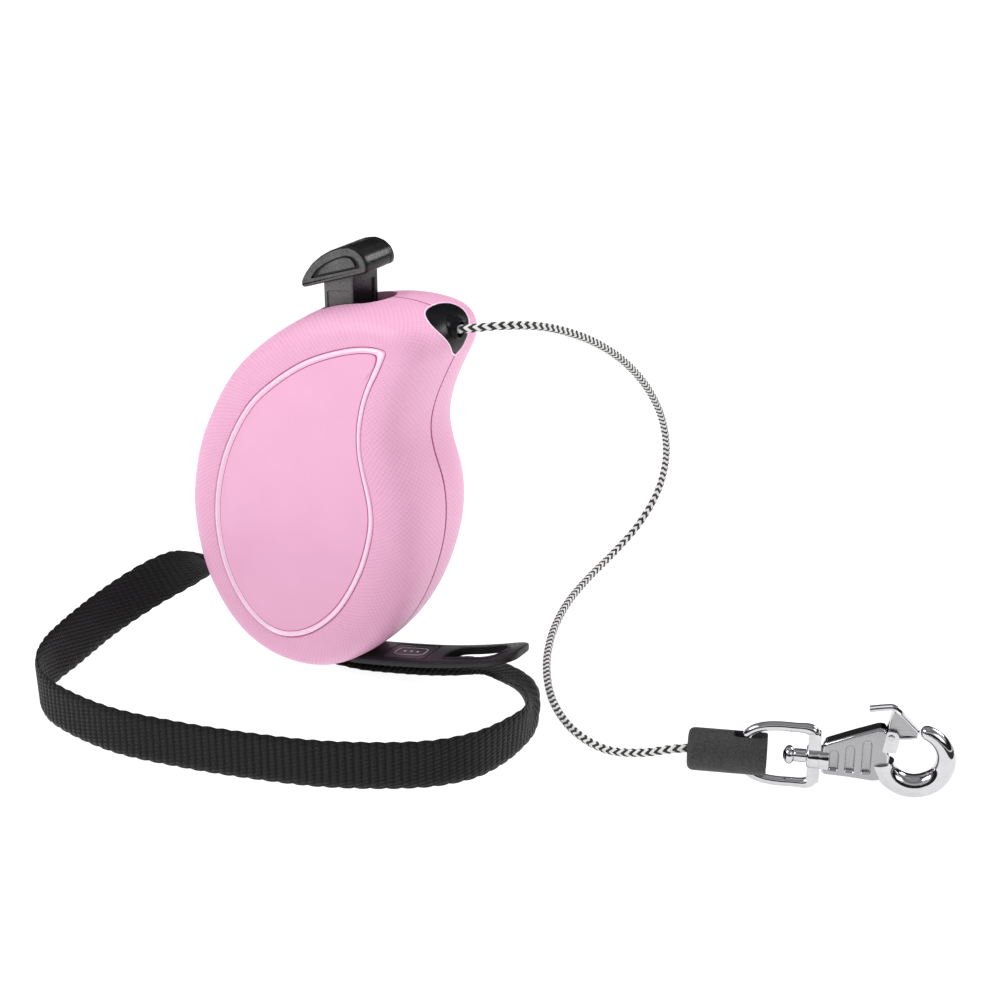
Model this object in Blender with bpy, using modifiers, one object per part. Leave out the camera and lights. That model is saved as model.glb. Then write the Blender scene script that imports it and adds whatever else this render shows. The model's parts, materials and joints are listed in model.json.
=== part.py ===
"""Retractable cord leash for a small dog: two-shell housing, cord reel, brake button, wrist strap and swivel snap hook.

+X points out of the cord nozzle, +Z is up and the housing's thickness runs along Y. All lengths below are millimetres.
"""

import math

import bmesh
import bpy
import numpy as np
from mathutils import Matrix, Vector

MM = 0.001
# ---- where the part's own origin lies, measured from the housing's lowest point ----
ORIGIN = (8.53, -33.07, 0.0)

# ---- housing ----
HALF_DEPTH = 18.5
SHELL_POWER = 2.8
WALL = 2.2
SHELL_GAP = 0.15
BEAD_HIGH = 0.3
PANEL_SUNK = 0.35
# each row: a point of the parting outline (x, z) and the matching point of the side panel's edge (x, z)
OUTLINE = [
    (2, 0, -0.5, 12.2), (12, 2, 7.5, 14.9), (22, 8, 15, 20.3), (30, 15.8, 20.6, 26.2),
    (37.3, 26.2, 26, 34.6), (42.5, 37.4, 30.2, 43.5), (46.1, 49.8, 33, 53), (47, 60, 33.8, 60),
    (45.9, 68.8, 32.9, 67), (43.6, 75.5, 31.1, 73.5), (42.1, 82.5, 29.9, 81), (43, 90, 30.6, 88.8),
    (46.2, 98.5, 33.2, 97.8), (49.6, 105.5, 36.6, 104.2), (51.8, 111.5, 38.8, 109), (50.6, 116.2, 39.6, 110.9),
    (46.5, 119.7, 38.9, 112), (41, 121.2, 35.5, 112.3), (32.5, 121.6, 29.2, 111.5), (23, 120.4, 21.5, 109.1),
    (12, 117.6, 12.5, 105.3), (0.5, 111.8, 3.8, 100), (-10.4, 104.5, -4.2, 93.8), (-21.3, 94.5, -11.5, 86.5),
    (-28.5, 84.2, -17.2, 77.8), (-35.4, 70.3, -22.3, 67), (-38.6, 59, -25, 57.5), (-39.9, 48, -26.2, 47.5),
    (-38, 32.1, -24.6, 34), (-33, 19.4, -20.8, 24.8), (-24.7, 8.9, -15.2, 17.5), (-12.5, 1.8, -8.5, 13.3),
]
PANEL_CORE = (24.0, 92.0)

# ---- reel ----
REEL = (3.0, 49.0)
AXLE_R = 4.0
BORE_R = 4.3
CORE_R = 14.0
FLANGE_R = 34.0
FLANGE_T = 1.4
WINDING_HALF = 6.3
TOOTH_R = 36.0
TEETH = 24
TOOTH_ROOT = 33.0
# the pressed pawl meets the middle of a tooth gap at this offset
TOOTH_PHASE = 5.0
WOUND_R = 27.0

# ---- brake ----
STEM_X = (9.7, 20.0)
STEM_HALF_Y = 6.5
STEM_FOOT = 100.0
SLOT_X = (8.4, 29.5)
SLOT_HALF_Y = 7.1
PRESS = 3.4
PAWL_PIVOT = (-10.5, 93.5)
PAWL_PIN_R = 1.5

# ---- nozzle ----
NOZZLE = (50.6, 115.3)
CORD_R = 1.2

# ---- strap: centre (x, y, z) and the direction across the webbing, from its lower to its upper edge ----
STRAP_W = 15.0
STRAP_T = 1.6
STRAP = [
    ((9, 0, 1.2), (0, -1, 0)), ((20, 0, 2.0), (0, -1, 0)), ((32, 0, 4.1), (0, -1, 0)), ((44, 0, 6.6), (0, -1, 0)),
    ((54, 0, 9.0), (-0.02, -1, 0.03)), ((64, 0, 10.6), (-0.2, -0.95, 0.2)), ((73.5, -3.2, 10.4), (-0.42, -0.83, 0.38)),
    ((81.5, -9.9, 8.2), (-0.17, -0.4, 0.9)), ((86.3, -20, 7.5), (0.1, -0.05, 1)), ((86.2, -31, 7.5), (0.06, -0.02, 1)),
    ((83.4, -41.5, 7.5), (0, 0, 1)), ((77.3, -50.5, 7.5), (0, 0, 1)), ((69, -57.5, 7.5), (0, 0, 1)),
    ((50, -68.2, 7.5), (0, 0, 1)), ((29.2, -75.4, 7.5), (0, 0, 1)), ((7.9, -80.8, 7.5), (0, 0, 1)),
    ((-13.6, -84, 7.5), (0, 0, 1)), ((-35.4, -81.6, 7.5), (0, 0, 1)), ((-45.6, -77.6, 7.5), (0, 0, 1)),
    ((-53.6, -70.3, 7.5), (-0.08, -0.02, 1)), ((-58.6, -60.4, 7.5), (-0.2, -0.06, 0.97)),
    ((-61.6, -49.8, 7.4), (-0.35, -0.08, 0.93)), ((-64.2, -39.2, 7.3), (-0.4, -0.09, 0.91)),
    ((-66.4, -28.5, 7.3), (-0.42, -0.09, 0.91)), ((-66.8, -17.5, 8.2), (-0.47, -0.09, 0.88)),
    ((-63.5, -7.8, 11.2), (-0.5, -0.15, 0.85)), ((-56, -2.2, 15.9), (-0.41, -0.35, 0.85)),
    ((-47, -0.2, 20.8), (-0.25, -0.75, 0.6)), ((-38.6, 0, 24.6), (0, -1, 0.05)), ((-34.2, 0, 26.5), (0, -1, 0)),
]
TAB_T = 2.2
TAB_HALF_W = 7.0
TAB = [(14.5, 4.0), (20, 4.9), (32, 7.2), (44, 9.8), (54, 12.5), (64, 15.6), (70, 17.8), (73.6, 19.2)]

# ---- free cord, from inside the nozzle to the end sleeve ----
CORD = [
    (43.5, 0, 114.9), (47.5, 0, 115.1), (52.1, 0, 115.4), (57.0, 1.2, 116.2), (61.8, 3.8, 116.8), (67.4, 13.7, 115.2),
    (69.8, 29.7, 109.5), (70.2, 49.5, 100.1), (69.1, 70.7, 87.3), (67.0, 90.9, 71.7), (63.8, 107.8, 54.5),
    (59.4, 119.1, 37.1), (54.1, 123.3, 21.9), (49.2, 119.6, 10.6), (46.2, 108.1, 4.0), (46.4, 89.8, 1.6),
    (50.3, 67.4, 1.4), (58.0, 43.9, 1.4), (69.0, 22.1, 1.4), (82.1, 4.5, 1.4), (95.9, -6.9, 1.5), (109.1, -12.3, 2.4),
    (121.1, -13.4, 5.6), (128.6, -12.4, 8.4), (134.0, -10.3, 9.4), (143.0, -6.7, 9.4),
]

# ---- hook chain: start, direction and height of the sleeve's axis, then lengths along it (u) ----
HOOK_START = (134.0, -10.3, 9.4)
HOOK_DIR = (0.92765, 0.37345)
SLEEVE_R = 6.0
SLEEVE_L = 21.3
EYE_BAR_U = 15.4
EYE_WIRE_R = 1.35
EYE_Z = (1.4, 18.6)
EYE_RIGHT_U = 34.2
STUD_R = 1.9
RING = (61.2, 12.0)
RING_R = 8.6
RING_WIRE = 3.2
HOOK_T = 4.6
GATE_PIVOT = (54.6, 18.9)


# ------------------------------------------------------------------ helpers
def clear_scene():
    for obj in list(bpy.data.objects):
        bpy.data.objects.remove(obj, do_unlink=True)


def place(x, y, z):
    return Vector(((x - ORIGIN[0]) * MM, (y - ORIGIN[1]) * MM, (z - ORIGIN[2]) * MM))


def periodic_spline(points):
    """Coefficients of the closed cubic spline through the points, with chord-length spacing from the first two columns."""
    p = np.asarray(points, float)
    n = len(p)
    h = np.linalg.norm(np.roll(p[:, :2], -1, 0) - p[:, :2], axis=1) ** 0.7
    system = np.zeros((n, n))
    right = np.zeros((n, p.shape[1]))
    for i in range(n):
        a, b = h[i - 1], h[i]
        system[i, i - 1] += a
        system[i, i] += 2 * (a + b)
        system[i, (i + 1) % n] += b
        right[i] = 6 * ((p[(i + 1) % n] - p[i]) / b - (p[i] - p[i - 1]) / a)
    second = np.linalg.solve(system, right)
    return p, h, second


def spline_at(spline, t):
    """The closed spline at parameter t, where whole numbers are the given points."""
    p, h, m = spline
    n = len(p)
    i = int(math.floor(t)) % n
    f = t - math.floor(t)
    j = (i + 1) % n
    w = h[i]
    a, b = 1 - f, f
    return a * p[i] + b * p[j] + ((a**3 - a) * m[i] + (b**3 - b) * m[j]) * w * w / 6


def open_spline(points, per):
    """Points of a smooth open curve through the given ones (centripetal Catmull-Rom), per steps between each two."""
    p = np.asarray(points, float)
    ext = np.vstack([2 * p[0] - p[1], p, 2 * p[-1] - p[-2]])
    out = []
    for i in range(1, len(ext) - 2):
        p0, p1, p2, p3 = ext[i - 1 : i + 3]
        t0 = 0.0
        t1 = t0 + np.linalg.norm((p1 - p0)[:3]) ** 0.5
        t2 = t1 + np.linalg.norm((p2 - p1)[:3]) ** 0.5
        t3 = t2 + np.linalg.norm((p3 - p2)[:3]) ** 0.5
        for k in range(per):
            t = t1 + (t2 - t1) * k / per
            a1 = (t1 - t) / (t1 - t0) * p0 + (t - t0) / (t1 - t0) * p1
            a2 = (t2 - t) / (t2 - t1) * p1 + (t - t1) / (t2 - t1) * p2
            a3 = (t3 - t) / (t3 - t2) * p2 + (t - t2) / (t3 - t2) * p3
            b1 = (t2 - t) / (t2 - t0) * a1 + (t - t0) / (t2 - t0) * a2
            b2 = (t3 - t) / (t3 - t1) * a2 + (t - t1) / (t3 - t1) * a3
            out.append((t2 - t) / (t2 - t1) * b1 + (t - t1) / (t2 - t1) * b2)
    out.append(p[-1])
    return np.array(out)


def even(points, step):
    """The polyline resampled at equal steps along its first three columns."""
    p = np.asarray(points, float)
    s = np.r_[0, np.cumsum(np.linalg.norm(np.diff(p[:, :3], axis=0), axis=1))]
    n = max(2, int(round(s[-1] / step)))
    u = np.linspace(0, s[-1], n + 1)
    return np.stack([np.interp(u, s, p[:, k]) for k in range(p.shape[1])], 1)


def material(name, color, rough, metal=0.0):
    mat = bpy.data.materials.new(name)
    mat.use_nodes = True
    shader = mat.node_tree.nodes["Principled BSDF"]
    shader.inputs["Base Color"].default_value = (*color, 1)
    shader.inputs["Roughness"].default_value = rough
    shader.inputs["Metallic"].default_value = metal
    return mat


def new_object(name, bm, collection, origin=None, look=None):
    """A mesh object from a bmesh in millimetres, with its origin at the given point."""
    o = place(*(origin or ORIGIN))
    for vert in bm.verts:
        vert.co = place(*vert.co) - o
    bmesh.ops.recalc_face_normals(bm, faces=bm.faces[:])
    mesh = bpy.data.meshes.new(name)
    bm.to_mesh(mesh)
    bm.free()
    obj = bpy.data.objects.new(name, mesh)
    obj.location = o
    if look:
        mesh.materials.append(look)
    collection.objects.link(obj)
    return obj


def tube_rings(bm, rings, close_ends=True):
    """A skin over rings of the same count of points."""
    rows = [[bm.verts.new(p) for p in ring] for ring in rings]
    n = len(rows[0])
    for a, b in zip(rows, rows[1:]):
        for i in range(n):
            bm.faces.new((a[i], a[(i + 1) % n], b[(i + 1) % n], b[i]))
    if close_ends:
        bm.faces.new(rows[0][::-1])
        bm.faces.new(rows[-1])
    return rows


def lathe_y(profile, centre, steps=48, radius_of=None, first=0.0):
    """A closed ring or disc about the Y axis through centre (x, z); profile is a closed list of (r, y)."""
    bm = bmesh.new()
    n = len(profile)
    rows = []
    for k in range(steps):
        a = math.radians(first) + 2 * math.pi * k / steps
        row = []
        for r, y in profile:
            rr = radius_of(r, y, k) if radius_of else r
            row.append(bm.verts.new((centre[0] + rr * math.cos(a), y, centre[1] + rr * math.sin(a))))
        rows.append(row)
    for k in range(steps):
        a, b = rows[k], rows[(k + 1) % steps]
        for i in range(n):
            j = (i + 1) % n
            bm.faces.new((a[i], a[j], b[j], b[i]))
    return bm


def cylinder_between(bm, a, b, r, steps=24, r2=None):
    a, b = Vector(a), Vector(b)
    d = (b - a).normalized()
    e1 = d.orthogonal().normalized()
    e2 = d.cross(e1)
    rows = []
    for p, rr in ((a, r), (b, r if r2 is None else r2)):
        rows.append([p + rr * (math.cos(2 * math.pi * k / steps) * e1 + math.sin(2 * math.pi * k / steps) * e2) for k in range(steps)])
    tube_rings(bm, rows)


def stack_between(a, b, stations, steps=24):
    """A turned solid from a to b: stations are (distance from a, radius)."""
    a, b = Vector(a), Vector(b)
    d = (b - a).normalized()
    e1 = Vector((0, 0, 1)) if abs(d.z) < 0.9 else Vector((0, 1, 0))
    e1 = (e1 - d * e1.dot(d)).normalized()
    e2 = d.cross(e1)
    bm = bmesh.new()
    rows = []
    for s, r in stations:
        rows.append([a + d * s + r * (math.cos(2 * math.pi * k / steps) * e1 + math.sin(2 * math.pi * k / steps) * e2) for k in range(steps)])
    tube_rings(bm, rows)
    return bm


def box_bm(low, high, turn=None, about=None):
    bm = bmesh.new()
    corners = [(x, y, z) for x in (low[0], high[0]) for y in (low[1], high[1]) for z in (low[2], high[2])]
    v = [bm.verts.new(c) for c in corners]
    for f in ((0, 1, 3, 2), (4, 6, 7, 5), (0, 4, 5, 1), (2, 3, 7, 6), (0, 2, 6, 4), (1, 5, 7, 3)):
        bm.faces.new([v[i] for i in f])
    if turn is not None:
        c = Vector(about or (0, 0, 0))
        m = Matrix.Rotation(turn, 3, "Y")
        for vert in bm.verts:
            vert.co = c + m @ (vert.co - c)
    return bm


def prism(points, low, high, to3):
    """A straight prism: 2-D points, a range of depth and a function that places (a, b, depth)."""
    bm = bmesh.new()
    rows = [[to3(a, b, d) for a, b in points] for d in (low, high)]
    tube_rings(bm, rows)
    return bm


def boolean(obj, other, operation):
    mod = obj.modifiers.new(operation.title() + "_" + other.name, "BOOLEAN")
    mod.operation = operation
    mod.object = other
    mod.solver = "EXACT"
    return mod


def settle(obj):
    """The object's modifiers made into its mesh."""
    graph = bpy.context.evaluated_depsgraph_get()
    graph.update()
    mesh = bpy.data.meshes.new_from_object(obj.evaluated_get(graph))
    looks = [m for m in obj.data.materials]
    obj.modifiers.clear()
    obj.data = mesh
    if not mesh.materials and looks:
        mesh.materials.append(looks[0])
    bm = bmesh.new()
    bm.from_mesh(mesh)
    bmesh.ops.remove_doubles(bm, verts=bm.verts[:], dist=0.000004)
    bmesh.ops.dissolve_degenerate(bm, dist=0.000002, edges=bm.edges[:])
    bm.to_mesh(mesh)
    bm.free()


clear_scene()
PART = bpy.data.collections.new("retractable_leash")
CUT = bpy.data.collections.new("cutters")
bpy.context.scene.collection.children.link(PART)
bpy.context.scene.collection.children.link(CUT)

LOOKS = {
    "shell_pink": material("shell_pink", (0.88, 0.53, 0.72), 0.45),
    "black_plastic": material("black_plastic", (0.02, 0.02, 0.022), 0.4),
    "guide_black": material("guide_black", (0.012, 0.012, 0.013), 0.3),
    "reel_white": material("reel_white", (0.75, 0.75, 0.73), 0.5),
    "spring_steel": material("spring_steel", (0.45, 0.46, 0.48), 0.3, 1.0),
    "steel": material("steel", (0.6, 0.6, 0.61), 0.25, 1.0),
    "webbing_black": material("webbing_black", (0.015, 0.015, 0.016), 0.8),
    "cord_braid": material("cord_braid", (0.32, 0.32, 0.32), 0.8),
    "rubber_black": material("rubber_black", (0.03, 0.03, 0.03), 0.75),
    "chrome": material("chrome", (0.8, 0.8, 0.82), 0.08, 1.0),
    "badge_grey": material("badge_grey", (0.08, 0.08, 0.085), 0.45),
}
LOOK_OF = {}


def keep(name, bm, look, origin=None):
    obj = new_object(name, bm, PART, origin, LOOKS[look])
    LOOK_OF[name] = look
    return obj


def cutter(name, bm):
    obj = new_object(name, bm, CUT)
    obj.hide_render = True
    obj.display_type = "WIRE"
    return obj


# ------------------------------------------------------------------ housing shells
def curve_points(count):
    spline = periodic_spline(OUTLINE)
    n = len(OUTLINE)
    dense = np.array([spline_at(spline, n * k / 2048) for k in range(2048)])
    s = np.r_[0, np.cumsum(np.linalg.norm(np.diff(np.vstack([dense, dense[:1]])[:, :2], axis=0), axis=1))]
    u = np.linspace(0, s[-1], count, endpoint=False)
    closed = np.vstack([dense, dense[:1]])
    p = np.stack([np.interp(u, s, closed[:, k]) for k in range(4)], 1)
    return p[:, :2], p[:, 2:]


def nearest(q, loop):
    a = loop
    b = np.roll(loop, -1, 0) - a
    t = np.clip(((q - a) * b).sum(1) / np.maximum((b * b).sum(1), 1e-9), 0, 1)
    return np.sqrt((((q - a) - b * t[:, None]) ** 2).sum(1)).min()


def inset(loop, d):
    """The loop moved inwards by d, with its points drawn towards the panel's core where they would cross."""
    tangent = np.roll(loop, -1, 0) - np.roll(loop, 1, 0)
    normal = np.stack([-tangent[:, 1], tangent[:, 0]], 1)
    normal /= np.linalg.norm(normal, axis=1)[:, None]
    out = loop + normal * d
    core = np.array(PANEL_CORE)
    for i, q in enumerate(out):
        if nearest(q, loop) < 0.97 * d:
            way = core - loop[i]
            way /= np.linalg.norm(way)
            step = d
            while nearest(loop[i] + way * step, loop) < d and step < 12 * d:
                step += 0.1
            out[i] = loop[i] + way * step
    return out


OUTER, PANEL = curve_points(68)
INNER_WALL = inset(OUTER, WALL)


def level(outer, panel, t, depth):
    c = (1 - t**SHELL_POWER) ** (1 / SHELL_POWER)
    return [(x, depth * t, z) for x, z in panel + (outer - panel) * c]


def flat(loop, y):
    return [(x, y, z) for x, z in loop]


def shell(name, side):
    bm = bmesh.new()
    rows = []
    for t in (0.985, 0.92, 0.78, 0.5):
        rows.append(level(INNER_WALL, PANEL, t, HALF_DEPTH - WALL))
    rows.insert(0, flat(PANEL, HALF_DEPTH - WALL))
    rows.append(flat(INNER_WALL, SHELL_GAP))
    rows.append(flat(OUTER, SHELL_GAP))
    for t in (0.25, 0.5, 0.7, 0.83, 0.92, 0.97, 0.995):
        rows.append(level(OUTER, PANEL, t, HALF_DEPTH))
    rows.append(flat(inset(PANEL, 0.05), HALF_DEPTH - 0.1))
    rows.append(flat(inset(PANEL, 0.35), HALF_DEPTH - 0.45))
    rows.append(flat(inset(PANEL, 0.75), HALF_DEPTH + BEAD_HIGH * 0.5))
    rows.append(flat(inset(PANEL, 1.35), HALF_DEPTH + BEAD_HIGH * 0.5))
    rows.append(flat(inset(PANEL, 1.8), HALF_DEPTH - PANEL_SUNK))
    tube_rings(bm, [[(x, side * y, z) for x, y, z in row] for row in rows])
    return keep(name, bm, "shell_pink")


left = shell("left_shell", -1)
right = shell("right_shell", 1)

# nozzle opening: a rounded triangle, square to the nose
NOSE_A = np.array((44.2, 120.3))
NOSE_B = np.array((50.7, 108.0))
NOSE_DOWN = (NOSE_B - NOSE_A) / np.linalg.norm(NOSE_B - NOSE_A)
NOSE_OUT = np.array((-NOSE_DOWN[1], NOSE_DOWN[0]))


def nozzle_outline(grow):
    """(along the nose, across) of the guide's rounded triangle."""
    half = [(-0.6, 0.0), (-0.3, 3.5), (0.9, 6.4), (3.2, 8.0), (5.6, 7.7), (8.2, 6.2), (10.8, 4.2), (12.9, 2.2), (13.9, 0.0)]
    s = open_spline([(a, b, 0) for a, b in half], 3)[:, :2]
    loop = np.vstack([s, s[-2:0:-1] * np.array([1, -1])])
    c = np.array([5.5, 0])
    t = np.roll(loop, -1, 0) - np.roll(loop, 1, 0)
    nrm = np.stack([t[:, 1], -t[:, 0]], 1)
    nrm /= np.linalg.norm(nrm, axis=1)[:, None]
    if ((loop - c) * nrm).sum() < 0:
        nrm = -nrm
    return loop + nrm * grow


def nose_place(a, b, d):
    x, z = NOSE_A + NOSE_DOWN * a + NOSE_OUT * d
    return (x, b, z)


nozzle_cut = cutter("nozzle_cut", prism(nozzle_outline(0.3), -7.6, 14, nose_place))


def slot_outline(x0, x1, hy):
    pts = [(x0, -hy), (x1 - 6.5, -hy)]
    for k in range(1, 12):
        a = -math.pi / 2 + math.pi * k / 12
        pts.append((x1 - 6.5 + 6.5 * math.cos(a), hy * math.sin(a)))
    pts += [(x1 - 6.5, hy), (x0, hy)]
    return pts


button_cut = cutter("button_cut", prism(slot_outline(SLOT_X[0], SLOT_X[1], SLOT_HALF_Y), 106, 128, lambda a, b, d: (a, b, d)))
strap_mid = (14, 0, 3.2)
front_cut = cutter("strap_front_cut", box_bm((2.0, -8.0, -0.9), (24, 8.0, 6.4), math.radians(-12.0), (14, 0, 3.0)))
rear_cut = cutter("strap_rear_cut", box_bm((-46.0, -8.0, 24.9), (-33.6, 8.0, 27.9), math.radians(-23), (-35.0, 0, 26.2)))
for shell_obj in (left, right):
    for c in (nozzle_cut, button_cut, front_cut, rear_cut):
        boolean(shell_obj, c, "DIFFERENCE")

SCREWS = [(28.5, 101.5), (-18.8, 82.4), (-23.5, 17.5), (25.0, 16.2)]
SCREW_R = 1.2
for k, (x, z) in enumerate(SCREWS, 1):
    post = bmesh.new()
    cylinder_between(post, (x, -HALF_DEPTH + WALL - 0.6, z), (x, -0.45, z), 2.7, 14)
    boolean(left, cutter(f"left_post_{k}", post), "UNION")
    hole = bmesh.new()
    cylinder_between(hole, (x, -13.0, z), (x, 2, z), SCREW_R + 0.3, 14)
    boolean(left, cutter(f"left_hole_{k}", hole), "DIFFERENCE")
    post = bmesh.new()
    cylinder_between(post, (x, 0.45, z), (x, HALF_DEPTH - WALL + 0.6, z), 3.4, 14)
    boolean(right, cutter(f"right_post_{k}", post), "UNION")
    hole = bmesh.new()
    cylinder_between(hole, (x, -1, z), (x, 24, z), SCREW_R + 0.3, 14)
    boolean(right, cutter(f"right_hole_{k}", hole), "DIFFERENCE")
    sink = bmesh.new()
    cylinder_between(sink, (x, 11.0, z), (x, 24, z), 2.4, 14)
    boolean(right, cutter(f"right_sink_{k}", sink), "DIFFERENCE")

shelf = cutter("spring_shelf", box_bm((10.5, 0.8, 86.3), (19.5, HALF_DEPTH - WALL + 0.6, 88.0)))
boolean(right, shelf, "UNION")
axle_seat = []
for obj, side in ((left, -1), (right, 1)):
    seat = bmesh.new()
    cylinder_between(seat, (REEL[0], side * (HALF_DEPTH - WALL + 0.6), REEL[1]), (REEL[0], side * 15.4, REEL[1]), 6.5, 32)
    boolean(obj, cutter(f"axle_seat_{'left' if side < 0 else 'right'}", seat), "UNION")
    post = bmesh.new()
    for px, pz, pr in ((PAWL_PIVOT[0], PAWL_PIVOT[1], 3.0),):
        cylinder_between(post, (px, side * (HALF_DEPTH - WALL + 0.6), pz), (px, side * 8.6, pz), pr, 20)
    boolean(obj, cutter(f"pawl_boss_{'left' if side < 0 else 'right'}", post), "UNION")
bpy.context.view_layer.update()
settle(left)
settle(right)

# screws, driven from the right side
for k, (x, z) in enumerate(SCREWS, 1):
    bm = stack_between((x, -12.6, z), (x, 13.2, z), [(0, 0.5), (1.4, SCREW_R), (23.9, SCREW_R), (23.9001, 2.1), (25.3, 2.1), (25.8, 1.6)], 14)
    screw = keep(f"shell_screw_{k}", bm, "steel")
    cross = bmesh.new()
    for w, h in ((1.3, 0.28), (0.28, 1.3)):
        piece = box_bm((x - w, 12.5, z - h), (x + w, 14, z + h))
        m = bpy.data.meshes.new("tmp")
        piece.to_mesh(m)
        cross.from_mesh(m)
        piece.free()
    boolean(screw, cutter(f"screw_cross_{k}", box_bm((x - 1.3, 12.5, z - 0.28), (x + 1.3, 14, z + 0.28))), "DIFFERENCE")
    boolean(screw, cutter(f"screw_cross_b_{k}", box_bm((x - 0.28, 12.5, z - 1.3), (x + 0.28, 14, z + 1.3))), "DIFFERENCE")
    cross.free()
    settle(screw)

# ------------------------------------------------------------------ nozzle guide
guide = keep("cord_guide", prism(nozzle_outline(0.0), -7.2, 9, nose_place), "guide_black")
body = bmesh.new()
rows = []
for t in (0.999, 0.9, 0.7, 0.45, 0.2, 0.0, -0.2, -0.45, -0.7, -0.9, -0.999):
    c = (1 - abs(t) ** SHELL_POWER) ** (1 / SHELL_POWER)
    loop = PANEL + (OUTER - PANEL) * c
    rows.append([(x, HALF_DEPTH * t, z) for x, z in loop])
tube_rings(body, rows)
boolean(guide, cutter("housing_solid", body), "INTERSECT")
lip = stack_between((46.0, 0, NOZZLE[1]), (60, 0, NOZZLE[1]), [(0, 3.3), (5.2, 3.3), (5.9, 2.9), (6.1, 2.3)], 28)
boolean(guide, cutter("guide_lip", lip), "UNION")
bore = stack_between((34.0, 0, NOZZLE[1]), (60, 0, NOZZLE[1]), [(0, 2.6), (6.5, 2.6), (9, 1.65), (16.0, 1.65), (18.6, 2.6), (26, 2.9)], 28)
boolean(guide, cutter("guide_bore", bore), "DIFFERENCE")
settle(guide)

# ------------------------------------------------------------------ brake button
def cap_outline():
    """Side view (x, z): flat sloping underside, blunt rear tip, high rounded front."""
    return [
        (2.2, 122.3), (3.0, 121.8), (9.3, 123.9), (15.0, 125.8), (21.1, 127.9), (25.2, 129.3), (25.7, 130.6), (25.5, 132.2),
        (24.5, 134.1), (22.3, 135.6), (19.4, 136.2), (16.2, 135.6), (12.6, 134.1), (9.2, 132.0), (6.0, 129.3), (3.6, 126.2), (2.2, 123.6),
    ]


button = keep("brake_button", prism(cap_outline(), -7.4, 7.4, lambda a, b, d: (a, d, b)), "black_plastic")
bevel = button.modifiers.new("Edges", "BEVEL")
bevel.width = 0.0006
bevel.segments = 2
bevel.limit_method = "ANGLE"
bevel.angle_limit = math.radians(50)
stem = bmesh.new()
tube_rings(stem, [[(STEM_X[0], -STEM_HALF_Y, z), (STEM_X[1], -STEM_HALF_Y, z), (STEM_X[1], STEM_HALF_Y, z), (STEM_X[0], STEM_HALF_Y, z)] for z in (STEM_FOOT, 130.0)])
boolean(button, cutter("button_stem", stem), "UNION")
groove = [(6.4, 125.3), (23.0, 130.7), (22.4, 132.2), (20.6, 133.6), (17.8, 133.4), (14.2, 131.9), (11.2, 130.2), (8.6, 128.2)]
for side in (-1, 1):
    outer = prism(groove, side * 6.9, side * 8.2, lambda a, b, d: (a, d, b))
    boolean(button, cutter(f"cap_recess_{'left' if side < 0 else 'right'}", outer), "DIFFERENCE")
    mid = np.mean(np.array(groove), axis=0)
    small = [tuple(mid + (np.array(p) - mid) * 0.86) for p in groove]
    boolean(button, cutter(f"cap_island_{'left' if side < 0 else 'right'}", prism(small, side * 6.6, side * 7.3, lambda a, b, d: (a, d, b))), "UNION")
flange = bmesh.new()
tube_rings(flange, [[(8.7, -7.0, z), (21.0, -7.0, z), (21.0, 7.0, z), (8.7, 7.0, z)] for z in (STEM_FOOT, 102.0)])
boolean(button, cutter("button_stop", flange), "UNION")
settle(button)

# return spring under the stem
SPRING_AT = (15.0, 4.0)
SPRING_LOW, SPRING_HIGH = 88.3, 99.7


def coil(name, centre, low, high, radius, wire, turns, look, per=12):
    curve = bpy.data.curves.new(name, "CURVE")
    curve.dimensions = "3D"
    curve.bevel_depth = wire * MM
    curve.bevel_resolution = 1
    curve.use_fill_caps = True
    count = int(turns * per) + 1
    line = curve.splines.new("POLY")
    line.points.add(count - 1)
    for i in range(count):
        a = 2 * math.pi * i / per
        z = low + wire + (high - low - 2 * wire) * i / (count - 1)
        p = place(centre[0] + radius * math.cos(a), centre[1] + radius * math.sin(a), z)
        line.points[i].co = (*p, 1)
    curve.materials.append(LOOKS[look])
    obj = bpy.data.objects.new(name, curve)
    PART.objects.link(obj)
    LOOK_OF[name] = look
    return obj


coil("button_spring", SPRING_AT, SPRING_LOW, SPRING_HIGH, 2.2, 0.35, 5, "spring_steel", 8)

# pawl: lever from its pivot to below the stem, with one tooth over the ratchet
px, pz = PAWL_PIVOT
TOOTH_AT = math.radians(75.0)
tooth_dir = np.array((math.cos(TOOTH_AT), math.sin(TOOTH_AT)))
tooth_tip = np.array(REEL) + tooth_dir * (TOOTH_R + 0.9)


def pawl_outline():
    pts = []
    for k in range(9):
        a = math.radians(70 + 200 * k / 8)
        pts.append((px + 3.2 * math.cos(a), pz + 3.2 * math.sin(a)))
    n = np.array((-tooth_dir[1], tooth_dir[0]))
    base = tooth_tip + tooth_dir * 6.0
    pts.append((px + 2.0, pz - 2.6))
    pts.append(tuple(base + n * 3.0 - tooth_dir * 1.0))
    pts.append(tuple(tooth_tip + n * 1.5))
    pts.append(tuple(tooth_tip - n * 1.3))
    pts.append(tuple(base - n * 2.2 - tooth_dir * 1.2))
    pts.append((18.5, 95.5))
    pts.append((19.2, 98.5))
    pts.append((17.5, 99.7))
    pts.append((11.5, 99.7))
    pts.append((6.0, 97.2))
    return pts


pawl = keep("brake_pawl", prism(pawl_outline(), -8.2, -1.2, lambda a, b, d: (a, d, b)), "black_plastic", (px, 0, pz))
pin_hole = bmesh.new()
cylinder_between(pin_hole, (px, -12, pz), (px, 12, pz), PAWL_PIN_R + 0.3, 20)
boolean(pawl, cutter("pawl_bore", pin_hole), "DIFFERENCE")
settle(pawl)
keep("pawl_pin", stack_between((px, -8.3, pz), (px, 8.3, pz), [(0, PAWL_PIN_R - 0.2), (0.2, PAWL_PIN_R), (16.4, PAWL_PIN_R), (16.6, PAWL_PIN_R - 0.2)], 20), "steel")

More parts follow.
